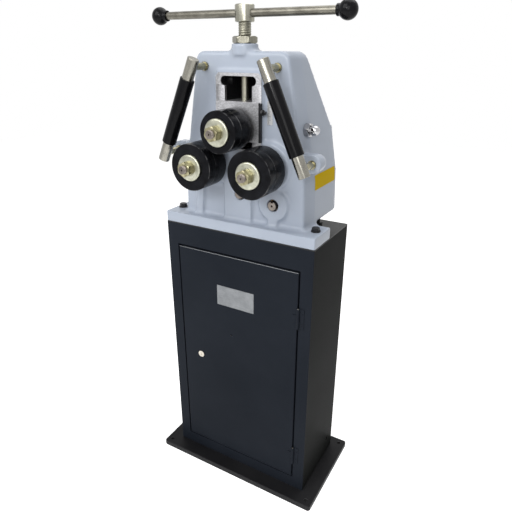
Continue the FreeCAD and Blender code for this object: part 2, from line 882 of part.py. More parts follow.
def cover_screw_places():
    places = []
    outline = cover_outline(cover_inset + cover_screw_inset)
    for start, end in zip(outline, outline[1:] + outline[:1]):
        places.append(start)
        if (end - start).Length > cover_screw_pitch:
            third = (end - start) * (1 / 3)
            places.append(start + third)
            places.append(start + third * 2)
    return places


def rear_cover():
    plate = prism(cover_outline(cover_inset), V(0, cover_thickness, 0))
    bosses = []
    bores = []
    for axis, radius in shaft_rears():
        bosses.append(rod_y(axis[0], axis[1], cover_boss_radius, cover_boss_y, casting_rear_y + 1))
        bores.append(rod_y(axis[0], axis[1], radius + rear_bush_wall + seat_gap, cover_boss_y - 1,
                           cover_boss_y + rear_bush_length))
    for place in cover_screw_places():
        bores.append(rod_y(place.x, place.z, cover_screw_radius + 0.3, casting_rear_y - 1,
                           casting_rear_y + cover_thickness + 1))
    return joined([plate] + bosses).cut(bores)


def shaft_rears():
    return [
        (left_axis, rear_journal_radius),
        (right_axis, rear_journal_radius),
        (idler_axis, crank_journal_radius),
        (pinion_axis, crank_journal_radius),
    ]


def cover_screws():
    screws = []
    y1 = casting_rear_y + cover_thickness
    for place in cover_screw_places():
        shank = rod_y(place.x, place.z, cover_screw_radius, y1 - cover_screw_length, y1)
        head = rod_y(place.x, place.z, cover_screw_head_radius, y1, y1 + cover_screw_head_height)
        socket = hexagon(V(place.x, y1 + cover_screw_head_height - 3, place.z), Y_AXIS, 5.0, 4.0)
        screws.append(joined([shank, head]).cut(socket))
    return Part.makeCompound(screws)


def front_bushes():
    bushes = []
    for x, z in (left_axis, right_axis):
        bushes.append(tube_y(x, z, journal_radius + bush_wall, journal_radius + running_gap,
                             pad_y, bush_rear_y))
    for x, z in (idler_axis, pinion_axis):
        bushes.append(tube_y(x, z, crank_journal_radius + rear_bush_wall,
                             crank_journal_radius + running_gap, pad_y + crank_socket_depth, bush_rear_y))
    return Part.makeCompound(bushes)


def rear_bushes():
    bushes = []
    for axis, radius in shaft_rears():
        bushes.append(tube_y(axis[0], axis[1], radius + rear_bush_wall, radius + running_gap,
                             cover_boss_y, cover_boss_y + rear_bush_length - 1))
    return Part.makeCompound(bushes)


def screw_bush():
    """Threaded bush for the pressure screw, with a hexagon head on the boss."""
    seat_z = casting_top_z + screw_boss_height
    body = rod_z(0, screw_y, bush_body_radius, window_top_z + 2, seat_z)
    head = hexagon(V(0, screw_y, seat_z), Z_AXIS, bush_hex_across_flats, bush_hex_height)
    bore = rod_z(0, screw_y, screw_radius + running_gap, window_top_z - 5, seat_z + bush_hex_height + 5)
    return joined([body, head]).cut(bore)


def gib_strip():
    x0 = slide_plate_half + gib_side_gap
    bar = box(x0, x0 + gib_width, pad_y - slide_plate_thickness, pad_y,
              slide_bottom_z, slide_top_z - gib_top_gap)
    hole = rod_x(pad_y - slide_plate_thickness / 2, upper_axis_z + gib_screw_above_axis,
                 gib_screw_radius + seat_gap, x0 + 1.5, x0 + gib_width + 1)
    return bar.cut(hole)


def gib_screw():
    """Grub screw through the gib strip, held by a lock nut."""
    x0 = slide_plate_half + gib_side_gap
    y = pad_y - slide_plate_thickness / 2
    z = upper_axis_z + gib_screw_above_axis
    screw = rod_x(y, z, gib_screw_radius, x0 + 1.5, x0 + gib_screw_length)
    nut = hexagon(V(x0 + gib_width, y, z), X_AXIS, gib_nut_across_flats, gib_nut_height)
    nut = nut.cut(rod_x(y, z, gib_screw_radius + seat_gap, x0, x0 + 30))
    return Part.makeCompound([screw, nut])


def clamp_wall():
    """Where the clamp screw's axis leaves the right wall, in its flared front part."""
    share = (clamp_depth - wall_depth) / (side_break_depth - wall_depth)
    return half_width(clamp_height) + side_flare * share


def clamp_screw():
    """Slide clamp on the right wall: a hexagon lock nut, and a screw with a domed head."""
    y = front_y + clamp_depth
    z = flange_top_z + clamp_height
    seat = clamp_wall() - clamp_nut_seat
    nut = hexagon(V(seat, y, z), X_AXIS, clamp_nut_across_flats, clamp_nut_height)
    nut = nut.cut(rod_x(y, z, clamp_screw_radius + seat_gap, seat - 1, seat + clamp_nut_height + 1))
    end = clamp_wall() + clamp_length
    shank = rod_x(y, z, clamp_screw_radius, window_half + clamp_tip_gap, end - clamp_head_radius)
    head = rod_x(y, z, clamp_head_radius, seat + clamp_nut_height + clamp_groove, end - clamp_head_radius)
    dome = Part.makeSphere(clamp_head_radius, V(end - clamp_head_radius, y, z))
    return Part.makeCompound([nut, joined([shank, head, dome])])


def clamp_hole():
    """The clamp screw's tapped hole through the wall and the rail, and its nut's seat."""
    y = front_y + clamp_depth
    z = flange_top_z + clamp_height
    wall = clamp_wall()
    hole = rod_x(y, z, clamp_screw_radius + seat_gap, window_half - 1, wall + 10)
    spot = rod_x(y, z, clamp_spot_radius, wall - clamp_nut_seat, wall + 20)
    return [hole, spot]


def scale_plate():
    half = scale_width / 2
    z0 = flange_top_z + scale_bottom
    return box(scale_x - half, scale_x + half, wall_y - scale_thickness, wall_y, z0, z0 + scale_length)


def flange_bolts():
    bolts = []
    for side in (-1, 1):
        x = side * flange_bolt_x
        y = front_y + flange_bolt_depth
        washer = rod_z(x, y, flange_bolt_washer_radius, flange_top_z, flange_top_z + flange_bolt_washer)
        seat = flange_top_z + flange_bolt_washer
        head = hexagon(V(x, y, seat), Z_AXIS, flange_bolt_across_flats, flange_bolt_head)
        shank = rod_z(x, y, flange_bolt_radius, cabinet_top_z - flange_bolt_grip, seat + 1)
        bolts.append(joined([washer, head, shank]))
    return Part.makeCompound(bolts)


def levelling_studs():
    """Two levelling screws that stand on the cabinet and carry the casting's rear."""
    studs = []
    for side in (-1, 1):
        x = side * stud_x
        y = front_y + stud_depth
        head = hexagon(V(x, y, cabinet_top_z), Z_AXIS, stud_head_across_flats, stud_head)
        under = flange_top_z + underside_lift
        shank = rod_z(x, y, stud_radius, cabinet_top_z + 2, under + stud_entry)
        nut = hexagon(V(x, y, under - stud_nut), Z_AXIS, stud_head_across_flats, stud_nut)
        studs.append(joined([head, shank, nut]))
    return Part.makeCompound(studs)


def grip_bar(side):
    top, run, length = grip_axis(side)
    bar = Part.makeCylinder(grip_bar_radius, length, top, run)
    ends = [edge for edge in bar.Edges if edge.Curve.TypeId == "Part::GeomCircle"]
    bar = bar.makeChamfer(grip_bar_chamfer, ends)
    for stud in grip_stud_points(side):
        pocket = grip_y + grip_bar_radius - grip_stud_entry
        bar = bar.cut(rod_y(stud.x, stud.z, grip_stud_radius + seat_gap, pocket, wall_y))
    return bar


def grip_sleeve(side):
    top, run, length = grip_axis(side)
    start = top + run * grip_end_length
    span = length - 2 * grip_end_length
    sleeve = Part.makeCylinder(grip_sleeve_radius, span, start, run)
    ends = [edge for edge in sleeve.Edges if edge.Curve.TypeId == "Part::GeomCircle"]
    sleeve = sleeve.makeFillet(grip_sleeve_round, ends)
    return sleeve.cut(Part.makeCylinder(grip_bar_radius + seat_gap, length, top, run))


def grip_studs():
    studs = []
    for side in (-1, 1):
        for place in grip_stud_points(side):
            start = grip_y + grip_bar_radius - grip_stud_entry + 0.1
            stud = rod_y(place.x, place.z, grip_stud_radius, start, wall_y + grip_stud_hole - 1)
            collar = rod_y(place.x, place.z, grip_stud_collar_radius, wall_y - grip_stud_collar, wall_y)
            studs.append(joined([stud, collar]))
    return Part.makeCompound(studs)


def lower_shaft(axis):
    """Roller shaft: threaded nose, keyed seat, collar, two journals and the gear seat."""
    x, z = axis
    washer_y = roller_front_y - washer_thickness
    tip = washer_y - nut_height - thread_beyond_nut
    steps = [
        (thread_radius, tip, washer_y),
        (roller_seat_radius, washer_y, roller_rear_y),
        (collar_radius, roller_rear_y, pad_y - thrust_gap),
        (journal_radius, pad_y - thrust_gap, hub_rear_y),
        (rear_journal_radius, hub_rear_y, cover_boss_y + rear_bush_length - 2),
    ]
    shaft = stepped_shaft(x, z, steps)
    shaft = shaft.cut(rod_y(x, z, centre_hole_radius, tip - 1, tip + centre_hole_depth))
    return shaft.cut(key_slots(axis))


def key_slots(axis):
    x, z = axis
    half = key_width / 2
    slots = []
    for radius, y0, y1 in key_seats():
        low = z + radius - key_height / 2
        slots.append(box(x - half, x + half, y0, y1, low, low + key_height + 1))
    return slots


def key_seats():
    return [
        (roller_seat_radius, roller_front_y + key_end_margin, roller_rear_y - key_end_margin),
        (journal_radius, gear_y0 + 1, gear_y1 - 1),
    ]


def shaft_keys(axis):
    x, z = axis
    half = key_width / 2 - 0.02
    keys = []
    for radius, y0, y1 in key_seats():
        low = z + radius - key_height / 2
        keys.append(box(x - half, x + half, y0 + 0.05, y1 - 0.05, low, low + key_height))
    return Part.makeCompound(keys)


def roller_disc(axis, radius, y0, width, front_break, rear_break, keyed):
    x, z = axis
    bore = roller_seat_radius + seat_gap
    disc = chamfered_disc(x, z, radius, bore, y0, y0 + width, front_break, rear_break)
    if keyed:
        half = key_width / 2
        top = z + roller_seat_radius + key_height / 2 + key_top_gap
        disc = disc.cut(box(x - half, x + half, y0 - 1, y0 + width + 1, z, top))
    return disc


def roller_washer(axis):
    x, z = axis
    y0 = roller_front_y - washer_thickness
    return chamfered_disc(x, z, washer_radius, roller_seat_radius + seat_gap, y0, roller_front_y,
                          washer_chamfer, 0.5)


def roller_nut(axis):
    x, z = axis
    y0 = roller_front_y - washer_thickness - nut_height
    nut = hexagon(V(x, y0, z), Y_AXIS, nut_across_flats, nut_height)
    return nut.cut(rod_y(x, z, thread_radius + seat_gap, y0 - 1, y0 + nut_height + 1))


def roller_gear(axis, phase):
    x, z = axis
    rim = gear_blank(roller_teeth, phase, axis)
    hub = rod_y(x, z, roller_hub_radius, hub_front_y, hub_rear_y)
    gear = joined([rim, hub])
    gear = gear.cut(rod_y(x, z, journal_radius + seat_gap, hub_front_y - 1, hub_rear_y + 1))
    half = key_width / 2
    top = z + journal_radius + key_height / 2 + key_top_gap
    return gear.cut(box(x - half, x + half, hub_front_y - 1, hub_rear_y + 1, z, top))


def crank_end(x, z, y0, y1):
    """The keyed shaft end that a crank slips over, with its centre hole."""
    end = rod_y(x, z, crank_end_radius, y0, y1)
    end = end.cut(rod_y(x, z, centre_hole_radius, y0 - 1, y0 + centre_hole_depth))
    half = crank_key_width / 2
    low = z + crank_end_radius - crank_key_depth
    return end.cut(box(x - half, x + half, y0 - 1, y1 - crank_key_end, low, low + 10))


def idler_shaft():
    x, z = idler_axis
    shoulder = pad_y + crank_socket_depth
    nose = crank_end(x, z, pad_y - crank_end_proud, shoulder + 1)
    journal = rod_y(x, z, crank_journal_radius, shoulder + thrust_gap, cover_boss_y + rear_bush_length - 2)
    return joined([nose, journal])


def idler_gear():
    x, z = idler_axis
    rim = gear_blank(idler_teeth, idler_phase, idler_axis)
    hub = rod_y(x, z, idler_hub_radius, hub_front_y, hub_rear_y)
    bore = rod_y(x, z, crank_journal_radius + seat_gap, hub_front_y - 1, hub_rear_y + 1)
    return joined([rim, hub]).cut(bore)


def pinion_shaft():
    """Input shaft with the pinion cut from the solid."""
    x, z = pinion_axis
    shoulder = pad_y + crank_socket_depth
    nose = crank_end(x, z, pad_y - crank_end_proud, shoulder + 1)
    journal = rod_y(x, z, crank_journal_radius, shoulder + thrust_gap, cover_boss_y + rear_bush_length - 2)
    thick = rod_y(x, z, crank_journal_radius + 5, hub_front_y, hub_rear_y)
    return joined([nose, journal, thick, gear_blank(pinion_teeth, pinion_phase, pinion_axis)])


def upper_shaft():
    x, z = upper_axis
    washer_y = roller_front_y - washer_thickness
    tip = washer_y - nut_height - thread_beyond_nut
    plate_face = pad_y - slide_gap - slide_plate_thickness
    rear = rail_rear_y + slide_gap + keeper_thickness
    ring_y = rear + thrust_gap
    steps = [
        (thread_radius, tip, washer_y),
        (roller_seat_radius, washer_y, roller_rear_y),
        (collar_radius, roller_rear_y, plate_face - thrust_gap),
        (journal_radius, plate_face - thrust_gap, rear + shaft_tail),
    ]
    shaft = stepped_shaft(x, z, steps)
    shaft = shaft.cut(rod_y(x, z, centre_hole_radius, tip - 1, tip + centre_hole_depth))
    groove = tube_y(x, z, journal_radius + 1, journal_radius - ring_groove_depth,
                    ring_y, ring_y + ring_thickness)
    return shaft.cut(groove)


def upper_ring():
    x, z = upper_axis
    y0 = rail_rear_y + slide_gap + keeper_thickness + thrust_gap + 0.05
    ring = tube_y(x, z, ring_radius, journal_radius - ring_groove_depth + seat_gap, y0,
                  y0 + ring_thickness - 0.1)
    return ring.cut(box(x - 4, x + 4, y0 - 1, y0 + ring_thickness + 1, z - ring_radius - 1, z))


def slide_block():
    """The slide: a face plate on the machined pad and a body between the rails."""
    y0 = pad_y - slide_gap - slide_plate_thickness
    plate = box(-slide_plate_half, slide_plate_half, y0, pad_y - slide_gap, slide_bottom_z, slide_top_z)
    fronts = [edge for edge in plate.Edges if edge.BoundBox.YMax < y0 + 0.01]
    plate = plate.makeChamfer(slide_edge_chamfer, fronts)
    half = window_half - slide_gap
    body = box(-half, half, y0 + 1, rail_rear_y + slide_gap, slide_bottom_z, slide_top_z)
    solid = joined([plate, body])
    x, z = upper_axis
    cuts = [rod_y(x, z, journal_radius + bush_wall + seat_gap, y0 - 1, rail_rear_y + 1)]
    keeper_z = slide_top_z - screw_keeper_height
    cuts.append(box(-screw_keeper_half_x, screw_keeper_half_x, screw_y - screw_keeper_half_y,
                    screw_y + screw_keeper_half_y, keeper_z, slide_top_z + 1))
    collar_z = keeper_z - screw_collar_height - 2 * thrust_gap
    cuts.append(rod_z(0, screw_y, screw_collar_radius + 0.3, collar_z, keeper_z + 1))
    cuts.append(rod_z(0, screw_y, screw_tail_radius + running_gap,
                      slide_top_z - screw_tail_length - 1, collar_z + 1))
    return solid.cut(cuts)


def slide_keeper():
    """Plate behind the rails that holds the slide against the pad."""
    y0 = rail_rear_y + slide_gap
    plate = box(-keeper_half, keeper_half, y0, y0 + keeper_thickness, slide_bottom_z, slide_top_z)
    x, z = upper_axis
    plate = plate.cut(rod_y(x, z, journal_radius + 0.3, y0 - 1, y0 + keeper_thickness + 1))
    heads = []
    for side in (-1, 1):
        for height in (slide_bottom_z + keeper_bolt_inset, slide_top_z - keeper_bolt_inset):
            bolt = rod_y(side * keeper_bolt_half_spacing, height, keeper_bolt_radius,
                         y0 + keeper_thickness, y0 + keeper_thickness + keeper_bolt_height)
            heads.append(bolt)
    return joined([plate] + heads)


def slide_bushes():
    x, z = upper_axis
    y0 = pad_y - slide_gap - slide_plate_thickness
    y1 = rail_rear_y + slide_gap
    bushes = []
    for start in (y0, y1 - slide_bush_length):
        bushes.append(tube_y(x, z, journal_radius + bush_wall, journal_radius + running_gap,
                             start, start + slide_bush_length))
    return Part.makeCompound(bushes)


def screw_keeper():
    """Two half plates that trap the pressure screw's collar in the slide."""
    z0 = slide_top_z - screw_keeper_height
    halves = []
    for side in (-1, 1):
        span = sorted((side * 0.2, side * (screw_keeper_half_x - 0.1)))
        half = screw_keeper_half_y - 0.1
        plate = box(span[0], span[1], screw_y - half, screw_y + half, z0 + 0.02, slide_top_z)
        plate = plate.cut(rod_z(0, screw_y, screw_tail_radius + 0.3, z0 - 1, slide_top_z + 1))
        halves.append(plate)
    return Part.makeCompound(halves)


def spindle_screw():
    """Pressure screw: collar held in the slide, a long neck, full thread from the bush up."""
    neck_z = window_top_z - screw_thread_below_window
    collar_top = slide_top_z - screw_keeper_height - thrust_gap
    parts = [
        rod_z(0, screw_y, screw_tail_radius, slide_top_z - screw_tail_length, neck_z + 1),
        rod_z(0, screw_y, screw_collar_radius, collar_top - screw_collar_height, collar_top),
        rod_z(0, screw_y, screw_radius, neck_z, hub_bottom_z + screw_head_length),
    ]
    return joined(parts)


def spindle_hub():
    """Turned hub on the screw's head, cross-bored for the tee bar."""
    hub = rod_z(0, screw_y, hub_radius, hub_bottom_z, hub_bottom_z + hub_height)
    rims = [edge for edge in hub.Edges if edge.Curve.TypeId == "Part::GeomCircle"]
    hub = hub.makeChamfer(hub_chamfer, rims)
    hub = hub.cut(rod_z(0, screw_y, screw_radius + seat_gap, hub_bottom_z - 1, hub_bottom_z + screw_head_length + 0.05))
    return hub.cut(rod_x(screw_y, bar_z, bar_radius + seat_gap, -hub_radius - 1, hub_radius + 1))


def tee_bar():
    return rod_x(screw_y, bar_z, bar_radius, -bar_half_length, bar_half_length)


def ball_knobs():
    knobs = []
    for side in (-1, 1):
        x = side * ball_centre_x
        ball = Part.makeSphere(ball_radius, V(x, screw_y, bar_z))
        neck_end = x - side * ball_neck_length
        span = sorted((x, neck_end))
        knob = joined([ball, rod_x(screw_y, bar_z, ball_neck_radius, span[0], span[1])])
        bore = sorted((x + side * (bar_half_length - ball_centre_x + 0.1), x - side * ball_bore_depth))
        knobs.append(knob.cut(rod_x(screw_y, bar_z, bar_radius + seat_gap, bore[0], bore[1])))
    return Part.makeCompound(knobs)


def roller_set(prefix, axis, radius, keyed):
    """The two discs, washer and nut that every roller shaft carries."""
    split = roller_front_y + front_disc_width
    return {
        prefix + "_front_disc": roller_disc(axis, radius, roller_front_y, front_disc_width,
                                            disc_chamfer, disc_joint_chamfer, keyed),
        prefix + "_rear_disc": roller_disc(axis, radius, split, rear_disc_width,
                                           disc_joint_chamfer, disc_chamfer, keyed),
        prefix + "_washer": roller_washer(axis),
        prefix + "_nut": roller_nut(axis),
    }


def build_nodes():
    nodes = {
        "base_plate": floor_plate(),
        "cabinet_wrap": cabinet_wrap(),
        "cabinet_front": cabinet_front(),
        "cabinet_top": cabinet_top(),
        "machine_casting": machine_casting(),
        "rear_cover": rear_cover(),
        "rear_cover_screws": cover_screws(),
        "front_bushes": front_bushes(),
        "rear_bushes": rear_bushes(),
        "screw_bush": screw_bush(),
        "gib_strip": gib_strip(),
        "gib_screw": gib_screw(),
        "clamp_screw": clamp_screw(),
        "scale_plate": scale_plate(),
        "flange_bolts": flange_bolts(),
        "levelling_studs": levelling_studs(),
        "left_grip_bar": grip_bar(-1),
        "right_grip_bar": grip_bar(1),
        "left_grip_sleeve": grip_sleeve(-1),
        "right_grip_sleeve": grip_sleeve(1),
        "grip_studs": grip_studs(),
        "hinge_frame_leaves": hinge_leaves(False),
        "hinge_pins": hinge_pins(),
        "door_panel": door_panel(),
        "hinge_door_leaves": hinge_leaves(True),
        "name_plate": name_plate(),
        "lock_housing": lock_housing(),
        "lock_rotor": lock_rotor(),
        "lock_cam": lock_cam(),
        "slide_block": slide_block(),
        "slide_keeper": slide_keeper(),
        "slide_bushes": slide_bushes(),
        "screw_keeper": screw_keeper(),
        "spindle_screw": spindle_screw(),
        "spindle_hub": spindle_hub(),
        "tee_bar": tee_bar(),
        "ball_knobs": ball_knobs(),
        "upper_shaft": upper_shaft(),
        "upper_ring": upper_ring(),
        "idler_shaft": idler_shaft(),
        "idler_gear": idler_gear(),
        "pinion_shaft": pinion_shaft(),
    }
    nodes.update(roller_set("upper", upper_axis, upper_roller_radius, False))
    for prefix, axis, phase in (("left", left_axis, left_phase), ("right", right_axis, right_phase)):
        nodes.update(roller_set(prefix, axis, lower_roller_radius, True))
        nodes[prefix + "_shaft"] = lower_shaft(axis)
        nodes[prefix + "_gear"] = roller_gear(axis, phase)
        nodes[prefix + "_keys"] = shaft_keys(axis)
    return nodes


os.makedirs("parts", exist_ok=True)
for name, shape in build_nodes().items():
    shape.exportStep("parts/" + name + ".step")
    print(name, len(shape.Solids), round(shape.Volume), shape.isValid())
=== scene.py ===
import math
import bmesh
import bpy
import numpy as np
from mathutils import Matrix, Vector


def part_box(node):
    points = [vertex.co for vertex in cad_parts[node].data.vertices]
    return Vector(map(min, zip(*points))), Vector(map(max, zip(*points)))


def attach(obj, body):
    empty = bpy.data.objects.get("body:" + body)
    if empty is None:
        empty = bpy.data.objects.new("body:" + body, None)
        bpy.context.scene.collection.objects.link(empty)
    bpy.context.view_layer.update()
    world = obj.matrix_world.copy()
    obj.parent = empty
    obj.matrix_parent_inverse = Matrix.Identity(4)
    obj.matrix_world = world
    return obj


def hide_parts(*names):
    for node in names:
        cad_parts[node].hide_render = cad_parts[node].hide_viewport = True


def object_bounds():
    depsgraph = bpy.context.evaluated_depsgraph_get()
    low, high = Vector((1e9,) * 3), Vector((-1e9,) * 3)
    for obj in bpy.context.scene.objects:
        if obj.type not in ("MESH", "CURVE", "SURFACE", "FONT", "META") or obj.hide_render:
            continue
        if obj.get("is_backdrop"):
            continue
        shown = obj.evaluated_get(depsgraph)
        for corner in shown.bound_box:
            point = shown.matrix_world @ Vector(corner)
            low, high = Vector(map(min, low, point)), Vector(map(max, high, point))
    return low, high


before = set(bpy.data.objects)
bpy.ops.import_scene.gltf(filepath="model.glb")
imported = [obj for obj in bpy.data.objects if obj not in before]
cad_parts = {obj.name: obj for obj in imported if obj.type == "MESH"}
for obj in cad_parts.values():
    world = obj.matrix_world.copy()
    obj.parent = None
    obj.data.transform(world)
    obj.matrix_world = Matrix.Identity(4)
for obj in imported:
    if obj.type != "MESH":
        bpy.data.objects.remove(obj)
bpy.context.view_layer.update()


# Floor plate
# A 16 mm steel plate with rounded corners, wider than the cabinet all round. It is flame cut and
# painted dull black, with a painted highlight in grey along its top edge. Four holes near its corners take
# floor bolts.
floor_black = (0.004, 0.004, 0.005)
floor_worn = (0.013, 0.013, 0.014)
floor_edge_highlight = (0.16, 0.16, 0.17)
floor_highlight_band = 0.0010
floor_grain = 0.0012
floor_grain_depth = 0.0002


def finish(name):
    """A new material: itself, its tree, its shader and the place on the object."""
    material = bpy.data.materials.new(name)
    material.use_nodes = True
    tree = material.node_tree
    place = tree.nodes.new("ShaderNodeTexCoord").outputs["Object"]
    return material, tree, tree.nodes["Principled BSDF"], place


def add(tree, kind, inputs, **settings):
    """A node with its settings, and its inputs set to values or linked to other nodes."""
    made = tree.nodes.new(kind)
    for name, value in settings.items():
        setattr(made, name, value)
    for name, value in inputs.items():
        if isinstance(value, bpy.types.NodeSocket):
            tree.links.new(value, made.inputs[name])
        else:
            made.inputs[name].default_value = value
    return made


def math_node(tree, operation, first, second=0.0, third=0.0):
    """One step of arithmetic between values."""
    return add(tree, "ShaderNodeMath", {0: first, 1: second, 2: third}, operation=operation).outputs[0]


def noise(tree, place, size, detail=3.0, roughness=0.5):
    """Cloudy noise between 0 and 1, with spots of about the given size in metres."""
    inputs = {"Vector": place, "Scale": 1.0 / size, "Detail": detail, "Roughness": roughness}
    return add(tree, "ShaderNodeTexNoise", inputs).outputs["Fac"]


def stretched(tree, place, factors):
    """The place with its three directions multiplied by the given factors."""
    return add(tree, "ShaderNodeVectorMath", {0: place, 1: factors}, operation="MULTIPLY").outputs["Vector"]


def shades(tree, factor, stops):
    """A colour ramp through pairs of place and colour."""
    ramp = add(tree, "ShaderNodeValToRGB", {"Fac": factor})
    while len(ramp.color_ramp.elements) < len(stops):
        ramp.color_ramp.elements.new(0.5)
    for element, (place, colour) in zip(ramp.color_ramp.elements, stops):
        element.position = place
        element.color = (*colour, 1.0)
    return ramp.outputs["Color"]


def spread(tree, value, low, high, out_low, out_high):
    """A value carried from one range to another, held at its ends."""
    inputs = {"Value": value, "From Min": low, "From Max": high, "To Min": out_low, "To Max": out_high}
    return add(tree, "ShaderNodeMapRange", inputs).outputs["Result"]


def blended(tree, factor, first, second):
    """One colour passing into another by a factor."""
    mix = add(tree, "ShaderNodeMix", {"Factor": factor}, data_type="RGBA")
    for socket, colour in ((mix.inputs[6], first), (mix.inputs[7], second)):
        if isinstance(colour, bpy.types.NodeSocket):
            tree.links.new(colour, socket)
        else:
            socket.default_value = (*colour, 1.0)
    return mix.outputs[2]


def raise_grain(tree, shader, height, depth, strength=0.6):
    """Small relief on the surface, from a height that the nodes give."""
    bump = add(tree, "ShaderNodeBump", {"Height": height, "Strength": strength, "Distance": depth})
    tree.links.new(bump.outputs["Normal"], shader.inputs["Normal"])


def sprayed(name, low, high, grain, depth, roughness, sheen, cloud=0.2):
    """Sprayed paint: a fine orange-peel grain, with slow drifts in shade and gloss."""
    material, tree, shader, place = finish(name)
    shader.inputs["Specular IOR Level"].default_value = sheen
    drift = noise(tree, place, cloud, 4.0)
    peel = noise(tree, place, grain)
    tree.links.new(shades(tree, drift, [(0.3, low), (0.7, high)]), shader.inputs["Base Color"])
    gloss = math_node(tree, "ADD", spread(tree, peel, 0.3, 0.7, -0.05, 0.05),
                      spread(tree, drift, 0.3, 0.7, roughness - 0.04, roughness + 0.04))
    tree.links.new(gloss, shader.inputs["Roughness"])
    raise_grain(tree, shader, peel, depth)
    return material, tree, shader, place


def turned_upward(tree):
    """How far a face looks up, from -1 to 1."""
    normal = tree.nodes.new("ShaderNodeNewGeometry").outputs["Normal"]
    return add(tree, "ShaderNodeSeparateXYZ", {"Vector": normal}).outputs["Z"]


def painted_over(tree, shader, share, colour):
    """Lays a second colour over the paint's own, by a share from 0 to 1."""
    under = shader.inputs["Base Color"].links[0].from_socket
    tree.links.new(blended(tree, share, under, colour), shader.inputs["Base Color"])


def dress(material, *nodes):
    """Gives the frame's own parts their finish."""
    for name in nodes:
        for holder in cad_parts[name].material_slots:
            holder.material = material


floor_paint, tree, shader, place = sprayed("floor_plate_paint", floor_black, floor_worn, floor_grain,
                                           floor_grain_depth, 0.50, 0.15)
plate_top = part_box("base_plate")[1][2]
parts = add(tree, "ShaderNodeSeparateXYZ", {"Vector": place})
upright = math_node(tree, "LESS_THAN", turned_upward(tree), 0.5)
near_top = math_node(tree, "GREATER_THAN", parts.outputs["Z"], plate_top - floor_highlight_band)
# A thin band round the plate's top edge, on its side faces, is painted lighter grey: a painted highlight.
painted_over(tree, shader, math_node(tree, "MULTIPLY", upright, near_top), floor_edge_highlight)
dress(floor_paint, "base_plate")


# Cabinet
# Folded 2 mm steel sheet: a wrap for the sides and back with turned-in feet, a front frame with
# a return all round the door opening, and a top sheet. Spot welded and powder coated anthracite.
# The front's colour is painted a little bluer than the wrap's, a painted reflection, and the top
# sheet's colour is painted lighter than the rest, a painted sheen over its real satin gloss.
cabinet_dark = (0.0100, 0.0125, 0.0175)
cabinet_light = (0.0150, 0.0180, 0.0240)
wrap_dark = (0.0095, 0.0100, 0.0098)
wrap_light = (0.0140, 0.0145, 0.0140)
top_sheen_dark = (0.0220, 0.0225, 0.0225)
top_light = (0.0320, 0.0325, 0.0320)
cabinet_grain = 0.0010
cabinet_grain_depth = 0.00010
cabinet_cloud = 0.25


def powder_coated(name, low, high, roughness, sheen):
    """The cabinet's powder coat in one of its shades."""
    return sprayed(name, low, high, cabinet_grain, cabinet_grain_depth, roughness, sheen, cabinet_cloud)


# Three shades of one powder coat: the front's bluer colour is a painted reflection, and the top sheet's
# lighter colour is a painted sheen.
cabinet_paint = powder_coated("cabinet_paint", cabinet_dark, cabinet_light, 0.42, 0.03)[0]
dress(cabinet_paint, "cabinet_front")
dress(powder_coated("wrap_paint", wrap_dark, wrap_light, 0.42, 0.008)[0], "cabinet_wrap")
dress(powder_coated("top_sheet_paint_and_sheen", top_sheen_dark, top_light, 0.34, 0.12)[0], "cabinet_top")


# Door
# A 1.5 mm steel pan with rounded edges and returns on all four sides, powder coated with the
# cabinet. Its rounded upper edge carries a lighter painted highlight. A small hole is left above its middle.
door_edge_highlight = (0.30, 0.31, 0.32)

door_paint, tree, shader, place = powder_coated("door_paint", cabinet_dark, cabinet_light, 0.42, 0.03)
upward = turned_upward(tree)
rising = spread(tree, upward, 0.35, 0.50, 0.0, 1.0)
falling = spread(tree, upward, 0.80, 0.95, 1.0, 0.0)
# The faces that look up at a slant, along the door's rounded upper edge, are painted lighter: a painted
# highlight.
painted_over(tree, shader, math_node(tree, "MULTIPLY", rising, falling), door_edge_highlight)
dress(door_paint, "door_panel")


# Hinges
# Two pressed leaves a hinge, one riveted to the frame and one welded to the door, painted with
# them. A plain steel pin with a small head joins their knuckles.
dress(cabinet_paint, "hinge_frame_leaves", "hinge_door_leaves")
pin_dark = (0.20, 0.19, 0.18)
pin_light = (0.34, 0.33, 0.31)


def weighed(tree, first, second, share):
    """Two values added by their shares: first times the share, second times what is left of 1."""
    parts = [math_node(tree, "MULTIPLY", first, share), math_node(tree, "MULTIPLY", second, 1 - share)]
    return math_node(tree, "ADD", *parts)


def polished(tree, shader, value, low, high, dull, bright):
    """Roughness that passes from dull to bright as a value passes from low to high."""
    tree.links.new(spread(tree, value, low, high, dull, bright), shader.inputs["Roughness"])


def bright_metal(name, dark, light, roughness, mark, across="XYZ", depth=0.00002, bareness=1.0):
    """Machined metal: fine marks, close together along the named axes, over slow clouds."""
    material, tree, shader, place = finish(name)
    shader.inputs["Metallic"].default_value = bareness
    closeness = 30.0
    factors = [closeness if axis in across else 1.0 for axis in "XYZ"]
    scored = noise(tree, stretched(tree, place, factors), mark * closeness, 4.0, 0.65)
    drift = noise(tree, place, 0.025, 5.0, 0.6)
    tone = weighed(tree, scored, drift, 0.5)
    tree.links.new(shades(tree, tone, [(0.36, dark), (0.64, light)]), shader.inputs["Base Color"])
    polished(tree, shader, tone, 0.35, 0.65, roughness + 0.07, roughness - 0.05)
    raise_grain(tree, shader, scored, depth, 0.5)
    return material


pin_steel = bright_metal("turned_steel_pins", pin_dark, pin_light, 0.35, 0.0006, "Z")
dress(pin_steel, "hinge_pins")


# Door lock
# A cam lock: a round zinc housing through the door, a slotted rotor in it, and a flat steel cam
# on the rotor's tail that turns behind the frame. Housing and rotor are nickel plated.
nickel_dark = (0.40, 0.37, 0.32)
nickel_light = (0.60, 0.56, 0.49)

lock_nickel = bright_metal("nickel_lock", nickel_dark, nickel_light, 0.26, 0.0005)
dress(lock_nickel, "lock_housing", "lock_rotor")
dress(pin_steel, "lock_cam")


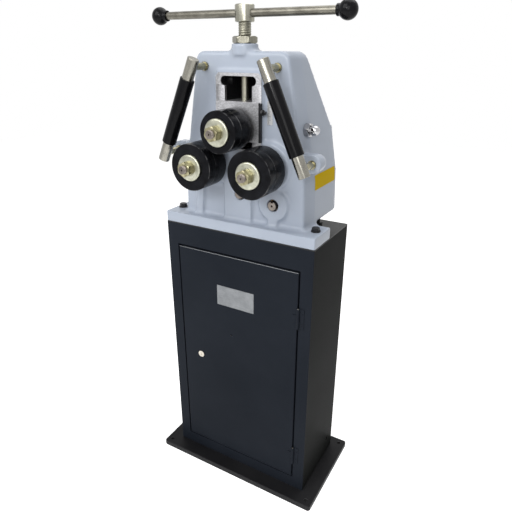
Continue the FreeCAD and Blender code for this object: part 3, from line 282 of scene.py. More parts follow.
# Name plate
# A 1 mm sheet of aluminium with a satin face, glued to the door. Its face is bare but for the
# brushing, which runs along its length.
plate_dark = (0.150, 0.158, 0.168)
plate_light = (0.235, 0.245, 0.255)

plate_aluminium = bright_metal("plate_aluminium", plate_dark, plate_light, 0.42, 0.0004, "YZ", bareness=0.55)
dress(plate_aluminium, "name_plate")


# Casting
# The grey iron housing: a foot flange, a hollow tapering body, and pads, bosses and ribs that run
# into its walls with cast fillets. It is filled, sprayed with glossy enamel, then machined.
# Its skin stands back a little from where the slide runs, so that nothing rubs.
casting_fine = 0.0022
casting_coarse = 0.0034
casting_fillet = 0.0035
casting_smoothing = 2
enamel_dark = (0.320, 0.358, 0.425)
enamel_light = (0.365, 0.405, 0.475)
enamel_grain = 0.0070
enamel_grain_depth = 0.00005
inside_painted_shade = (0.012, 0.012, 0.013)
flange_top = 0.8280
inner_side = 0.0050
inner_front = -0.0500
inner_bottom = 0.0140
inner_top = 1.1900
slide_pad_limit = -0.0822
slide_side_limit = 0.0388
slide_rear_limit = -0.0036
slide_run_bottom = 1.0165
slide_run_top = 1.1825
slide_side_start = 0.0300
skin_pad_half = 0.0625
skin_pad_bottom = 1.0125
skin_pad_top = 1.1912
skin_pad_rear = -0.0790
skin_rail_half = 0.0535
skin_rail_front = -0.0840
skin_rail_rear = 0.0010
dark_window_front = -0.0815
dark_window_half = 0.0392
dark_window_bottom = 1.0120
dark_window_top = 1.1855
dark_lobe_half = 0.0495
dark_lobe_bottom = 1.1610


def merged_copy(name, node):
    """A copy of a frame node with its loose triangles joined at their shared corners."""
    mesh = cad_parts[node].data.copy()
    mesh.name = name
    work = bmesh.new()
    work.from_mesh(mesh)
    bmesh.ops.remove_doubles(work, verts=work.verts, dist=1e-6)
    work.to_mesh(mesh)
    work.free()
    piece = bpy.data.objects.new(name, mesh)
    bpy.context.scene.collection.objects.link(piece)
    return piece


def settled(piece):
    """The piece with its modifiers carried out and its faces shaded as one skin."""
    shape = piece.evaluated_get(bpy.context.evaluated_depsgraph_get())
    piece.data = bpy.data.meshes.new_from_object(shape)
    piece.modifiers.clear()
    piece.data.name = piece.name
    piece.data.shade_smooth()
    piece.data.set_sharp_from_angle(angle=math.radians(50))
    return piece


casting = merged_copy("casting", "machine_casting")
for voxel, growth in ((casting_fine, casting_fillet), (casting_coarse, -casting_fillet)):
    skin = casting.modifiers.new("even_skin", "REMESH")
    skin.mode = "VOXEL"
    skin.voxel_size = voxel
    swell = casting.modifiers.new("swell", "DISPLACE")
    swell.strength = growth
    swell.mid_level = 0.0
    casting = settled(casting)
fillets = casting.modifiers.new("cast_fillets", "SMOOTH")
fillets.factor = 0.5
fillets.iterations = casting_smoothing
casting = settled(casting)


def points_of(piece):
    """The piece's points, one in each row."""
    spots = np.empty(len(piece.data.vertices) * 3)
    piece.data.vertices.foreach_get("co", spots)
    return spots.reshape(-1, 3)


def clear_of_slide(points):
    """The skin drawn back from the slide: the pad to no further forward than its limit, the
    window's sides to no nearer than theirs, and the rails' rear to no further back than theirs."""
    x, y, z = points.T
    width = np.abs(x)
    beside = (z > slide_run_bottom) & (z < slide_run_top) & (y < skin_rail_rear)
    on_pad = (width < skin_pad_half) & (y < skin_pad_rear) & (z > skin_pad_bottom) & (z < skin_pad_top)
    on_side = beside & (width > slide_side_start) & (width < slide_side_limit) & (y > skin_rail_front)
    on_rear = beside & (width < skin_rail_half) & (y > slide_rear_limit)
    clear_x = np.where(on_side, np.sign(x) * slide_side_limit, x)
    clear_y = np.where(on_pad, np.maximum(y, slide_pad_limit), np.where(on_rear, slide_rear_limit, y))
    return np.stack([clear_x, clear_y, z], axis=1)


casting.data.vertices.foreach_set("co", clear_of_slide(points_of(casting)).reshape(-1))
casting.data.update()


def painted_shade_inside(points):
    """1 at a point inside the casting and 0 elsewhere: past the front wall, between the side walls,
    which lean in above the knee, and short of the slanting rear wall, or in line with the window.
    The window has no limit at the rear, so its dark also lies on the outside of the rear wall."""
    x, y, z = np.abs(points[:, 0]), points[:, 1], points[:, 2]
    height = z - flange_top
    side = np.interp(height, (0.0, 0.117, 0.410), (0.178, 0.174, 0.124)) - inner_side
    rear = np.interp(height, (0.0, 0.234, 0.410), (0.112, 0.094, -0.014))
    hollow = (y > inner_front) & (x < side) & (y < rear) & (height > inner_bottom) & (z < inner_top)
    opening = (x < dark_window_half) | ((x < dark_lobe_half) & (z > dark_lobe_bottom))
    window = (y > dark_window_front) & (z > dark_window_bottom) & (z < dark_window_top) & opening
    return (hollow | window).astype(float)


def kept_number(tree, name):
    """A number that is stored at the points of the mesh."""
    return add(tree, "ShaderNodeAttribute", {}, attribute_name=name).outputs["Fac"]


def marked(piece, name, rule):
    """Stores a number at each point of the piece, worked out from the points by a rule."""
    stored = piece.data.attributes.new(name, "FLOAT", "POINT")
    stored.data.foreach_set("value", rule(points_of(piece)))


# The casting's hollow, and all that lies in line with its window, are painted near black over the enamel:
# painted shade.
marked(casting, "inside", painted_shade_inside)
enamel, tree, shader, place = sprayed("casting_enamel", enamel_dark, enamel_light, enamel_grain,
                                      enamel_grain_depth, 0.20, 0.28)
painted_over(tree, shader, kept_number(tree, "inside"), inside_painted_shade)
casting.data.materials.clear()
casting.data.materials.append(enamel)
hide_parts("machine_casting")
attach(casting, "frame")
dress(enamel, "rear_cover")


# Slideway
# The pad round the window is milled bare after painting, for the slide to run on. Its edges
# are sharp, its top corners are cut off, and the window widens at its top into two round lobes.
pad_half = 0.0630
pad_corner = 0.0080
pad_bottom = 1.0120
pad_top = 1.1915
pad_face = -0.08302
pad_back = -0.0740
window_half = 0.0380
window_bottom = 1.0150
window_top = 1.1840
lobe_radius = 0.01075
lobe_middle = 0.03825
edge_break = 0.0004
break_share = 0.025
iron_dark = (0.24, 0.24, 0.25)
iron_light = (0.60, 0.60, 0.62)


def closed_skin(name, *grids):
    """One mesh through grids of points. In each grid, rows and columns close on themselves, so a
    point joins the next in its row and the next in its column, and both join the one past them."""
    points, faces, start = [], [], 0
    for grid in grids:
        rows, columns = grid.shape[:2]
        here = np.arange(rows * columns).reshape(rows, columns) + start
        below = np.roll(here, -1, axis=0)
        square = [here, np.roll(here, -1, axis=1), np.roll(below, -1, axis=1), below]
        faces.append(np.stack(square, axis=-1).reshape(-1, 4))
        points.append(grid.reshape(-1, 3))
        start += rows * columns
    mesh = bpy.data.meshes.new(name)
    mesh.from_pydata(np.concatenate(points).tolist(), [], np.concatenate(faces).tolist())
    runs = [np.linalg.norm(np.diff(grid, axis=0, prepend=grid[:1]), axis=2).cumsum(axis=0) for grid in grids]
    run = mesh.attributes.new("run", "FLOAT", "POINT")
    run.data.foreach_set("value", np.concatenate([way.reshape(-1) for way in runs]))
    work = bmesh.new()
    work.from_mesh(mesh)
    bmesh.ops.remove_doubles(work, verts=work.verts, dist=1e-6)
    bmesh.ops.dissolve_degenerate(work, edges=work.edges, dist=1e-7)
    bmesh.ops.recalc_face_normals(work, faces=work.faces)
    work.to_mesh(mesh)
    work.free()
    mesh.shade_smooth()
    mesh.set_sharp_from_angle(angle=math.radians(35))
    piece = bpy.data.objects.new(name, mesh)
    bpy.context.scene.collection.objects.link(piece)
    return piece


def fitted(piece, material, slot, body, *nodes):
    """The piece with its finish, its body, and the frame nodes that it stands for."""
    piece.data.materials.clear()
    piece.data.materials.append(material)
    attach(piece, body)
    if nodes:
        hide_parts(*nodes)


def straight(first, second, steps):
    """Points on a straight line: first + t (second - first), without the last."""
    share = np.linspace(0, 1, steps, endpoint=False)[:, None]
    return np.array(first) + share * (np.array(second) - np.array(first))


def slideway_outlines():
    """The window's and the pad's outlines, point by point side by side, going round."""
    lobe_bottom = window_top - 2 * lobe_radius
    turn = np.linspace(-math.pi / 2, math.pi / 2, 24, endpoint=False)[:, None]
    lobe = np.hstack([lobe_middle + lobe_radius * np.cos(turn),
                      window_top - lobe_radius + lobe_radius * np.sin(turn)])
    inner = np.vstack([
        straight((0, window_bottom), (window_half, window_bottom), 4),
        straight((window_half, window_bottom), (window_half, lobe_bottom), 8),
        lobe,
        straight((lobe_middle, window_top), (0, window_top), 4),
    ])
    outer = np.vstack([
        straight((0, pad_bottom), (pad_half, pad_bottom), 4),
        straight((pad_half, pad_bottom), (pad_half, lobe_bottom), 8),
        straight((pad_half, lobe_bottom), (pad_half, pad_top - pad_corner), 12),
        straight((pad_half, pad_top - pad_corner), (pad_half - pad_corner, pad_top), 12),
        straight((pad_half - pad_corner, pad_top), (0, pad_top), 4),
    ])
    left = np.array([-1, 1])
    tops = [np.array([[0, window_top]]), np.array([[0, pad_top]])]
    return [np.vstack([half, top, half[:0:-1] * left]) for half, top in zip((inner, outer), tops)]


window_line, pad_line = slideway_outlines()
rows = np.array([
    (0.0, pad_back), (0.0, pad_face + edge_break), (break_share, pad_face),
    (1.0 - break_share, pad_face), (1.0, pad_face + edge_break), (1.0, pad_back),
])
across = window_line + rows[:, 0][:, None, None] * (pad_line - window_line)
depth = np.broadcast_to(rows[:, 1][:, None], across.shape[:2])
slideway = closed_skin("slideway_face", np.stack([across[..., 0], depth, across[..., 1]], axis=-1))


def milled(name, dark, light, roughness):
    """Milled iron or steel: crossing cutter arcs and scratches over a mottled grey."""
    material, tree, shader, place = finish(name)
    shader.inputs["Metallic"].default_value = 0.9
    arcs = add(tree, "ShaderNodeTexNoise", {"Vector": stretched(tree, place, (1.0, 1.0, 3.0)), "Scale": 90.0,
                                            "Detail": 6.0, "Roughness": 0.62, "Distortion": 2.2})
    lines = noise(tree, stretched(tree, place, (6.0, 6.0, 1.0)), 0.0040, 5.0, 0.7)
    tone = weighed(tree, arcs.outputs["Fac"], lines, 0.6)
    tree.links.new(shades(tree, tone, [(0.38, dark), (0.62, light)]), shader.inputs["Base Color"])
    polished(tree, shader, tone, 0.35, 0.65, roughness + 0.10, roughness - 0.06)
    raise_grain(tree, shader, tone, 0.00006, 0.5)
    return material


bare_iron = milled("milled_iron", iron_dark, iron_light, 0.40)
fitted(slideway, bare_iron, "milled_steel", "frame")


# Right wall label
# A yellow printed film label on the casting's right wall, left blank. Its corners are slightly
# rounded and it follows the wall.
label_front = -0.0230
label_rear = 0.1050
label_bottom = 0.9205
label_top = 0.9575
label_outside = 0.2000
label_lift = 0.0003
label_thickness = 0.0003
label_corner = 0.0015
label_columns = 240
label_rings = 24
label_dark = (0.53, 0.355, 0.001)
label_light = (0.61, 0.41, 0.0015)


def rounded_sheet(half_width, half_height, corner, steps=8):
    """A rectangle's outline with round corners: each corner is a quarter circle about its centre."""
    turn = np.linspace(0, math.pi / 2, steps)
    quarter = np.stack([np.cos(turn), np.sin(turn)], axis=1) * corner
    inset = np.array([half_width - corner, half_height - corner])
    outline = []
    for step, (right, up) in enumerate(((1, 1), (-1, 1), (-1, -1), (1, -1))):
        spin = np.array([[math.cos(step * math.pi / 2), -math.sin(step * math.pi / 2)],
                         [math.sin(step * math.pi / 2), math.cos(step * math.pi / 2)]])
        outline.append(quarter @ spin.T + inset * (right, up))
    return np.vstack(outline)


def evened(outline, count):
    """Points at even distances along a closed outline, each on the straight run between two of
    its own points."""
    closed = np.vstack([outline, outline[:1]])
    way = np.concatenate([[0], np.linalg.norm(np.diff(closed, axis=0), axis=1).cumsum()])
    steps = np.linspace(0, way[-1], count, endpoint=False)
    return np.stack([np.interp(steps, way, closed[:, 0]), np.interp(steps, way, closed[:, 1])], axis=1)


def sheet_rings(outline, rings):
    """A flat sheet as rings of its outline: ring k is the outline times the square root of its
    share of the way out, so that the rings lie closer together near the edge."""
    share = np.sqrt(np.linspace(0, 1, rings))
    return share[:, None, None] * outline


outline = rounded_sheet((label_rear - label_front) / 2, (label_top - label_bottom) / 2, label_corner)
middle = ((label_rear + label_front) / 2, (label_top + label_bottom) / 2)
flat = sheet_rings(evened(outline, label_columns), label_rings) + middle
points = np.concatenate([np.full(flat.shape[:2] + (1,), label_outside), flat], axis=2)
rings, columns = flat.shape[:2]
here = np.arange(rings * columns).reshape(rings, columns)
square = [here[:-1], here[1:], np.roll(here, -1, axis=1)[1:], np.roll(here, -1, axis=1)[:-1]]
mesh = bpy.data.meshes.new("wall_label")
mesh.from_pydata(points.reshape(-1, 3).tolist(), [], np.stack(square, axis=-1).reshape(-1, 4).tolist())
work = bmesh.new()
work.from_mesh(mesh)
bmesh.ops.remove_doubles(work, verts=work.verts, dist=1e-7)
work.to_mesh(mesh)
work.free()
label = bpy.data.objects.new("wall_label", mesh)
bpy.context.scene.collection.objects.link(label)
laid = label.modifiers.new("laid_on_wall", "SHRINKWRAP")
laid.target = casting
laid.wrap_method = "PROJECT"
laid.use_project_x = True
laid.use_project_y = False
laid.use_project_z = False
laid.use_negative_direction = True
laid.use_positive_direction = False
laid.offset = label_lift
film = label.modifiers.new("film", "SOLIDIFY")
film.thickness = label_thickness
film.offset = 1.0
label = settled(label)
label_film = sprayed("label_film", label_dark, label_light, 0.0030, 0.00001, 0.45, 0.02)[0]
fitted(label, label_film, "plate_aluminium", "frame")


# Scale plate
# A strip of aluminium beside the slide, with printed marks every two millimetres and a longer
# one every ten, which shows how far the slide is down.
scale_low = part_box("scale_plate")[0]
mark_pitch = 0.0020
mark_width = 0.34
short_mark = 0.0055
long_mark = 0.0090
scale_dark = (0.44, 0.45, 0.46)
scale_light = (0.60, 0.60, 0.60)
mark_ink = (0.03, 0.03, 0.03)


def line_of_marks(tree, height, width, pitch, share, reach):
    """1 on a row of marks: where height / pitch is past a whole number by less than the share, and
    width is less than the marks' reach."""
    past = math_node(tree, "FRACT", math_node(tree, "DIVIDE", height, pitch))
    in_mark = math_node(tree, "LESS_THAN", past, share)
    return math_node(tree, "MULTIPLY", in_mark, math_node(tree, "LESS_THAN", width, reach))


scale_metal, tree, shader, place = finish("scale_marks")
parts = add(tree, "ShaderNodeSeparateXYZ", {"Vector": place})
from_bottom = math_node(tree, "SUBTRACT", parts.outputs["Z"], scale_low[2])
across = parts.outputs["X"]
small = line_of_marks(tree, from_bottom, across, mark_pitch, mark_width, scale_low[0] + short_mark)
large = line_of_marks(tree, from_bottom, across, mark_pitch * 5, mark_width / 5, scale_low[0] + long_mark)
marks = math_node(tree, "MAXIMUM", small, large)
brushed = noise(tree, stretched(tree, place, (1.0, 1.0, 12.0)), 0.004, 4.0)
metal_tone = shades(tree, brushed, [(0.3, scale_dark), (0.7, scale_light)])
tree.links.new(blended(tree, marks, metal_tone, mark_ink), shader.inputs["Base Color"])
shader.inputs["Metallic"].default_value = 0.3
polished(tree, shader, brushed, 0.3, 0.7, 0.42, 0.32)
dress(scale_metal, "scale_plate")


# Foot fixings
# Two M12 screws with washers hold the flange down at the front, and two levelling screws with
# lock nuts carry the casting's rear. All are blackened and oiled.
oxide_dark = (0.007, 0.007, 0.008)
oxide_light = (0.020, 0.020, 0.022)


def blackened(name, roughness, mark):
    """Blackened steel: near black and oiled, cloudy, with fine marks in its gloss."""
    material, tree, shader, place = finish(name)
    shader.inputs["Specular IOR Level"].default_value = 0.22
    cloud = noise(tree, place, 0.012, 5.0, 0.6)
    marks = noise(tree, place, mark, 4.0, 0.7)
    tree.links.new(shades(tree, cloud, [(0.3, oxide_dark), (0.7, oxide_light)]), shader.inputs["Base Color"])
    polished(tree, shader, marks, 0.3, 0.7, roughness - 0.06, roughness + 0.10)
    raise_grain(tree, shader, marks, 0.00004, 0.5)
    return material


black_steel = blackened("blackened_fixings", 0.32, 0.0012)
dress(black_steel, "flange_bolts", "levelling_studs", "rear_cover_screws", "gib_screw", "gib_strip")


# Bushes and gears
# Cast bronze bushes are pressed into the housing and its cover. Three steel gears and a pinion
# behind the front wall join both lower rollers to the two shafts that a crank can turn.
bronze_dark = (0.20, 0.12, 0.055)
bronze_light = (0.34, 0.22, 0.11)
steel_dark = (0.16, 0.155, 0.15)
steel_light = (0.32, 0.31, 0.30)

bronze = bright_metal("bearing_bronze", bronze_dark, bronze_light, 0.32, 0.0008, "XZ")
dress(bronze, "front_bushes", "rear_bushes", "slide_bushes")
gear_steel = bright_metal("gear_steel", steel_dark, steel_light, 0.36, 0.0008, "XZ")
dress(gear_steel, "left_gear", "right_gear", "idler_gear", "left_keys", "right_keys", "upper_ring")


# Slide
# A milled iron block that carries the upper roller. Its face plate runs on the pad, and a keeper
# bolted on behind the rails holds it there. Two half plates trap the pressure screw's collar.
slide_dark = (0.20, 0.20, 0.21)
slide_light = (0.62, 0.62, 0.64)
slide_iron = milled("slide_iron", slide_dark, slide_light, 0.36)
dress(slide_iron, "slide_block", "slide_keeper", "screw_keeper")


# Roller shafts
# Turned steel shafts: a centre hole and an M20 thread at the nose, a seat for the rollers, a
# collar, and journals in the bushes. The lower two carry their gears on keys.
shaft_thread = 0.0100
shaft_pitch = 0.0025
shaft_thread_depth = 0.0012
shaft_thread_length = 0.0265
shaft_seat = 0.0150
shaft_seat_end = 0.1075
shaft_collar = 0.0240
shaft_collar_end = 0.1263
shaft_journal = 0.0175
centre_hole = 0.0030
centre_hole_depth = 0.0070
shaft_columns = 72
thread_rows = 96
shaft_dark = (0.10, 0.085, 0.075)
shaft_light = (0.27, 0.24, 0.215)


def thread_ridge(along, turn, pitch):
    """Height of a screw's ridge from 0 to 1: the distance of along / pitch - turn / full turn
    from the nearest whole number, doubled, and cut flat at the crest and the root."""
    phase = along / pitch - turn / (2 * math.pi)
    return np.clip(1.5 * np.abs(2 * (phase - np.floor(phase)) - 1) - 0.25, 0, 1)


def carried(along, radius, centre, axis, columns):
    """A surface about an axis: centre + s a + r (cos t u + sin t v), with a along the axis and
    u, v square to it. along and radius hold s and r, a row each, and radius may vary in a row."""
    forward = np.array(axis, float) / np.linalg.norm(axis)
    side = np.cross(forward, (0.0, 0.0, 1.0) if abs(forward[2]) < 0.9 else (1.0, 0.0, 0.0))
    side = side / np.linalg.norm(side)
    turn = np.linspace(0, 2 * math.pi, columns, endpoint=False)
    rim = np.cos(turn)[:, None] * side + np.sin(turn)[:, None] * np.cross(forward, side)
    radius = np.broadcast_to(np.asarray(radius).reshape(len(along), -1), (len(along), columns))
    return np.array(centre) + np.asarray(along)[:, None, None] * forward + radius[..., None] * rim


def eased(corners, cut, steps=5):
    """A closed profile with its corners rounded. Each corner c becomes (1-t)^2 p + 2t(1-t) c +
    t^2 q, where p and q lie on its two sides, the cut away from it or half way at most."""
    corners = np.array(corners, float)
    sides = [np.roll(corners, 1, axis=0) - corners, np.roll(corners, -1, axis=0) - corners]
    ends = []
    for side in sides:
        length = np.maximum(np.linalg.norm(side, axis=1, keepdims=True), 1e-9)
        ends.append(corners + side / length * np.minimum(cut, length * 0.49))
    share = np.linspace(0, 1, steps)[None, :, None]
    p, c, q = ends[0][:, None], corners[:, None], ends[1][:, None]
    return ((1 - share) ** 2 * p + 2 * share * (1 - share) * c + share ** 2 * q).reshape(-1, 2)


def turned_piece(name, profile, centre, axis, columns):
    """A piece turned about an axis from its profile, whose columns hold places along it and radii."""
    return closed_skin(name, carried(profile[:, 0], profile[:, 1], centre, axis, columns))


def front_of(node):
    """The point where a node's own axis, which runs along Y, meets its front."""
    low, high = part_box(node)
    return np.array([(low[0] + high[0]) / 2, low[1], (low[2] + high[2]) / 2])


def threaded_shaft(name, node):
    """A stepped shaft: its thread is rows of r = root + depth * ridge, kept under a cone at the tip."""
    low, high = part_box(node)
    length = high[1] - low[1]
    turn = np.linspace(0, 2 * math.pi, shaft_columns, endpoint=False)[None, :]
    root = shaft_thread - shaft_thread_depth
    rows = np.linspace(0, shaft_thread_length, thread_rows)[:, None]
    cone = root - 0.0003 + rows * 1.2
    threaded = np.minimum(root + shaft_thread_depth * thread_ridge(rows, turn, shaft_pitch), cone)
    head = np.array([(centre_hole_depth, 0), (centre_hole_depth - 0.0015, centre_hole * 0.6),
                     (0.0015, centre_hole * 0.6), (0, centre_hole), (0, root - 0.0006)])
    tail = np.array([(shaft_thread_length, shaft_seat), (shaft_seat_end, shaft_seat),
                     (shaft_seat_end, shaft_collar), (shaft_collar_end, shaft_collar),
                     (shaft_collar_end, shaft_journal), (length - 0.001, shaft_journal - 0.0025),
                     (length, shaft_journal - 0.0035), (length, 0)])
    along = np.concatenate([head[:, 0], rows[:, 0], tail[:, 0]])
    widths = [np.repeat(part[:, 1][:, None], shaft_columns, axis=1) for part in (head, tail)]
    radius = np.vstack([widths[0], threaded, widths[1]])
    return closed_skin(name, carried(along, radius, front_of(node), (0, 1, 0), shaft_columns))


shaft_steel = bright_metal("shaft_steel", shaft_dark, shaft_light, 0.34, 0.0006, "XZ")
for side in ("upper", "left", "right"):
    shaft = threaded_shaft(side + "_shaft_turned", side + "_shaft")
    fitted(shaft, shaft_steel, "turned_steel", side + "_roller", side + "_shaft")
dress(shaft_steel, "idler_shaft", "pinion_shaft")


# Roller discs
# Hardened and blackened steel rollers, two discs on each shaft. They are turned all over, with
# a broken edge at each rim that rubs bright, so that a thin ring of bare steel shows.
disc_bore = 0.01503
disc_rim = 0.0015
disc_joint = 0.0008
disc_columns = 160
disc_dark = (0.0025, 0.0025, 0.0030)
disc_light = (0.0095, 0.0100, 0.0125)
disc_bare = (0.36, 0.36, 0.36)
wear_margin = 0.0002


def cutter_rings(tree, closeness):
    """Noise that changes only along a turned piece's profile, as the rings of a cutter do."""
    inputs = {"W": kept_number(tree, "run"), "Scale": closeness, "Detail": 5.0, "Roughness": 0.7}
    return add(tree, "ShaderNodeTexNoise", inputs, noise_dimensions="1D").outputs["Fac"]


def turned_black(name, roughness):
    """Turned and blackened steel. Rings follow the cutter's path, and worn rims are bare."""
    material, tree, shader, place = finish(name)
    shader.inputs["Specular IOR Level"].default_value = 0.06
    rings = cutter_rings(tree, 900.0)
    cloud = noise(tree, place, 0.03, 5.0, 0.6)
    rubbing = spread(tree, noise(tree, place, 0.030, 4.0, 0.6), 0.46, 0.70, 0.0, 0.45)
    patchy = math_node(tree, "MULTIPLY", kept_number(tree, "wear"), rubbing)
    coat = shades(tree, weighed(tree, rings, cloud, 0.4), [(0.38, disc_dark), (0.62, disc_light)])
    tree.links.new(blended(tree, patchy, coat, disc_bare), shader.inputs["Base Color"])
    tree.links.new(patchy, shader.inputs["Metallic"])
    polished(tree, shader, rings, 0.25, 0.75, roughness - 0.05, roughness + 0.12)
    raise_grain(tree, shader, rings, 0.00004, 0.5)
    return material


def on_rims(points, radius, width, breaks):
    """1 at a disc's two rims and 0 elsewhere: far enough from the axis, and near enough to an end."""
    from_axis = np.hypot(points[:, 0], points[:, 2])
    near_end = (points[:, 1] < breaks[0] + wear_margin) | (points[:, 1] > width - breaks[1] - wear_margin)
    return ((from_axis > radius - max(breaks) - wear_margin) & near_end).astype(float)


roller_black = turned_black("roller_black", 0.20)
for side in ("upper", "left", "right"):
    for end in ("front", "rear"):
        node = side + "_" + end + "_disc"
        low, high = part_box(node)
        radius, width = (high[0] - low[0]) / 2, high[1] - low[1]
        breaks = (disc_rim, disc_joint) if end == "front" else (disc_joint, disc_rim)
        profile = eased([(0, disc_bore), (0, radius - breaks[0]), (breaks[0], radius),
                         (width - breaks[1], radius), (width, radius - breaks[1]),
                         (width, disc_bore)], 0.0004)
        disc = turned_piece(node + "_turned", profile, front_of(node), (0, 1, 0), disc_columns)
        marked(disc, "wear", lambda points: on_rims(points - front_of(node), radius, width, breaks))
        fitted(disc, roller_black, "blackened_steel", side + "_roller", node)


# Roller washers and nuts
# A thick domed washer and an M20 nut clamp each pair of discs. Both are forged, turned and zinc
# plated with a yellow-green cast. The nut's corners are cut by a cone at both ends.
washer_dome = 0.0012
nut_bore = 0.01003
nut_cone = 0.0012
nut_face = 1.02
nut_columns = 96
washer_columns = 120
washer_bore = 0.01503
nut_dark = (0.19, 0.17, 0.10)
nut_light = (0.42, 0.39, 0.25)
washer_dark = (0.28, 0.28, 0.22)
washer_light = (0.50, 0.50, 0.41)


def plated(name, dark, light, roughness):
    """Zinc plating with a yellow cast over turned steel, cloudy and with fine rings."""
    material, tree, shader, place = finish(name)
    shader.inputs["Metallic"].default_value = 1.0
    rings = cutter_rings(tree, 1100.0)
    tone = weighed(tree, rings, noise(tree, place, 0.012, 5.0, 0.6), 0.35)
    tree.links.new(shades(tree, tone, [(0.38, dark), (0.62, light)]), shader.inputs["Base Color"])
    polished(tree, shader, tone, 0.35, 0.65, roughness + 0.08, roughness - 0.04)
    raise_grain(tree, shader, rings, 0.00003, 0.5)
    return material


def hexagon_reach(turn, flats, twist=0.0):
    """Distance from the axis to a hexagon's side: half the flats over the cosine of the angle
    from the nearest side's middle."""
    sixth = math.pi / 3
    away = (turn + twist) % sixth - sixth / 2
    return flats / 2 / np.cos(away)


def hexagon_nut(front, axis, flats, height, bore, cone, twist):
    """A nut: r is the lesser of the hexagon and a limit that grows from each end along a cone."""
    face = flats / 2 * nut_face
    reach = flats / 2 / math.cos(math.pi / 6)
    rise = np.linspace(0, 1, 9)[:, None] * [cone, reach - face] + [0, face]
    fall = (rise * [-1, 1] + [height, 0])[::-1]
    profile = np.vstack([[(0.0, bore)], rise, fall, [(height, bore)]])
    turn = np.linspace(0, 2 * math.pi, nut_columns, endpoint=False)[None, :]
    radius = np.minimum(profile[:, 1][:, None], hexagon_reach(turn, flats, twist))
    return carried(profile[:, 0], radius, front, axis, nut_columns)


nut_zinc = plated("yellow_zinc", nut_dark, nut_light, 0.28)
washer_zinc = plated("pale_zinc", washer_dark, washer_light, 0.30)
for side, twist in (("upper", 0.30), ("left", 0.50), ("right", 0.40)):
    low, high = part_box(side + "_washer")
    radius, width = (high[0] - low[0]) / 2, high[1] - low[1]
    profile = eased([(0, washer_bore), (0, radius * 0.62), (washer_dome, radius - 0.0022), (0.0032, radius),
                     (width - 0.0005, radius), (width, radius - 0.0005), (width, washer_bore)], 0.0012, 6)
    front = front_of(side + "_washer")
    washer = turned_piece(side + "_washer_domed", profile, front, (0, 1, 0), washer_columns)
    fitted(washer, washer_zinc, "zinc_steel", side + "_roller", side + "_washer")
    low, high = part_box(side + "_nut")
    flats = min(high[0] - low[0], high[2] - low[2])
    front, height = front_of(side + "_nut"), high[1] - low[1]
    hexagon = hexagon_nut(front, (0, 1, 0), flats, height, nut_bore, nut_cone, twist)
    nut = closed_skin(side + "_nut_forged", hexagon)
    fitted(nut, nut_zinc, "zinc_steel", side + "_roller", side + "_nut")


# Slide clamp
# On the right wall a large chromed lock nut and a domed screw, whose tip presses on the slide
# through the wall. The nut's corners are cut by a cone at both ends, and a groove parts the two.
clamp_flats = 0.0300
clamp_nut_height = 0.0140
clamp_shank = 0.0080
clamp_dome = 0.0120
clamp_groove = 0.0030
clamp_length = 0.0330
clamp_sunk = 0.0020
clamp_nut_cone = 0.0022
clamp_nut_twist = 0.2
clamp_columns = 72
chrome_dark = (0.30, 0.30, 0.31)
chrome_light = (0.52, 0.52, 0.53)

low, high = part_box("clamp_screw")
clamp_middle = np.array([0.0, (low[1] + high[1]) / 2, (low[2] + high[2]) / 2])
clamp_end = high[0]
clamp_seat = clamp_end - clamp_length - clamp_sunk
nut_grid = hexagon_nut(clamp_middle + (clamp_seat, 0, 0), (1, 0, 0), clamp_flats, clamp_nut_height,
                       clamp_shank + 0.00005, clamp_nut_cone, clamp_nut_twist)
arc = np.linspace(math.pi / 2, 0, 16)[:, None]
dome = np.hstack([clamp_end - clamp_dome + clamp_dome * np.cos(arc), clamp_dome * np.sin(arc)])
head_start = clamp_seat + clamp_nut_height + clamp_groove
profile = np.vstack([
    [(low[0], 0.0), (low[0], clamp_shank - 0.0015), (low[0] + 0.0015, clamp_shank)],
    [(head_start, clamp_shank), (head_start, clamp_dome - 0.0008), (head_start + 0.0008, clamp_dome)], dome,
])
screw_grid = carried(profile[:, 0], profile[:, 1], clamp_middle, (1, 0, 0), clamp_columns)
chrome = bright_metal("clamp_chrome", chrome_dark, chrome_light, 0.10, 0.0008)
clamp = closed_skin("slide_clamp_chromed", nut_grid, screw_grid)
fitted(clamp, chrome, "nickel_steel", "frame", "clamp_screw")


# Pressure screw
# A turned screw with a trapezoid thread of 5 mm pitch. It runs in a hexagon bush on the housing's
# top boss, and its neck and collar are held in the slide, so that it pushes and pulls the slide.
screw_radius = 0.0150
screw_pitch = 0.0050
screw_thread_depth = 0.0010
screw_tail = 0.0100
screw_collar = 0.0135
thread_below_bush = 0.0040
bush_flats = 0.0520
bush_body = 0.0210
bush_bore = 0.01505
bush_cone = 0.0026
bush_twist = 0.15
head_height = 0.0160
hub_edge = 0.0018
screw_columns = 80
screw_rows = 420
screw_dark = (0.17, 0.165, 0.13)
screw_light = (0.30, 0.29, 0.235)
bush_dark = (0.16, 0.155, 0.125)
bush_light = (0.27, 0.26, 0.215)
hub_dark = (0.23, 0.225, 0.185)
hub_light = (0.40, 0.39, 0.33)

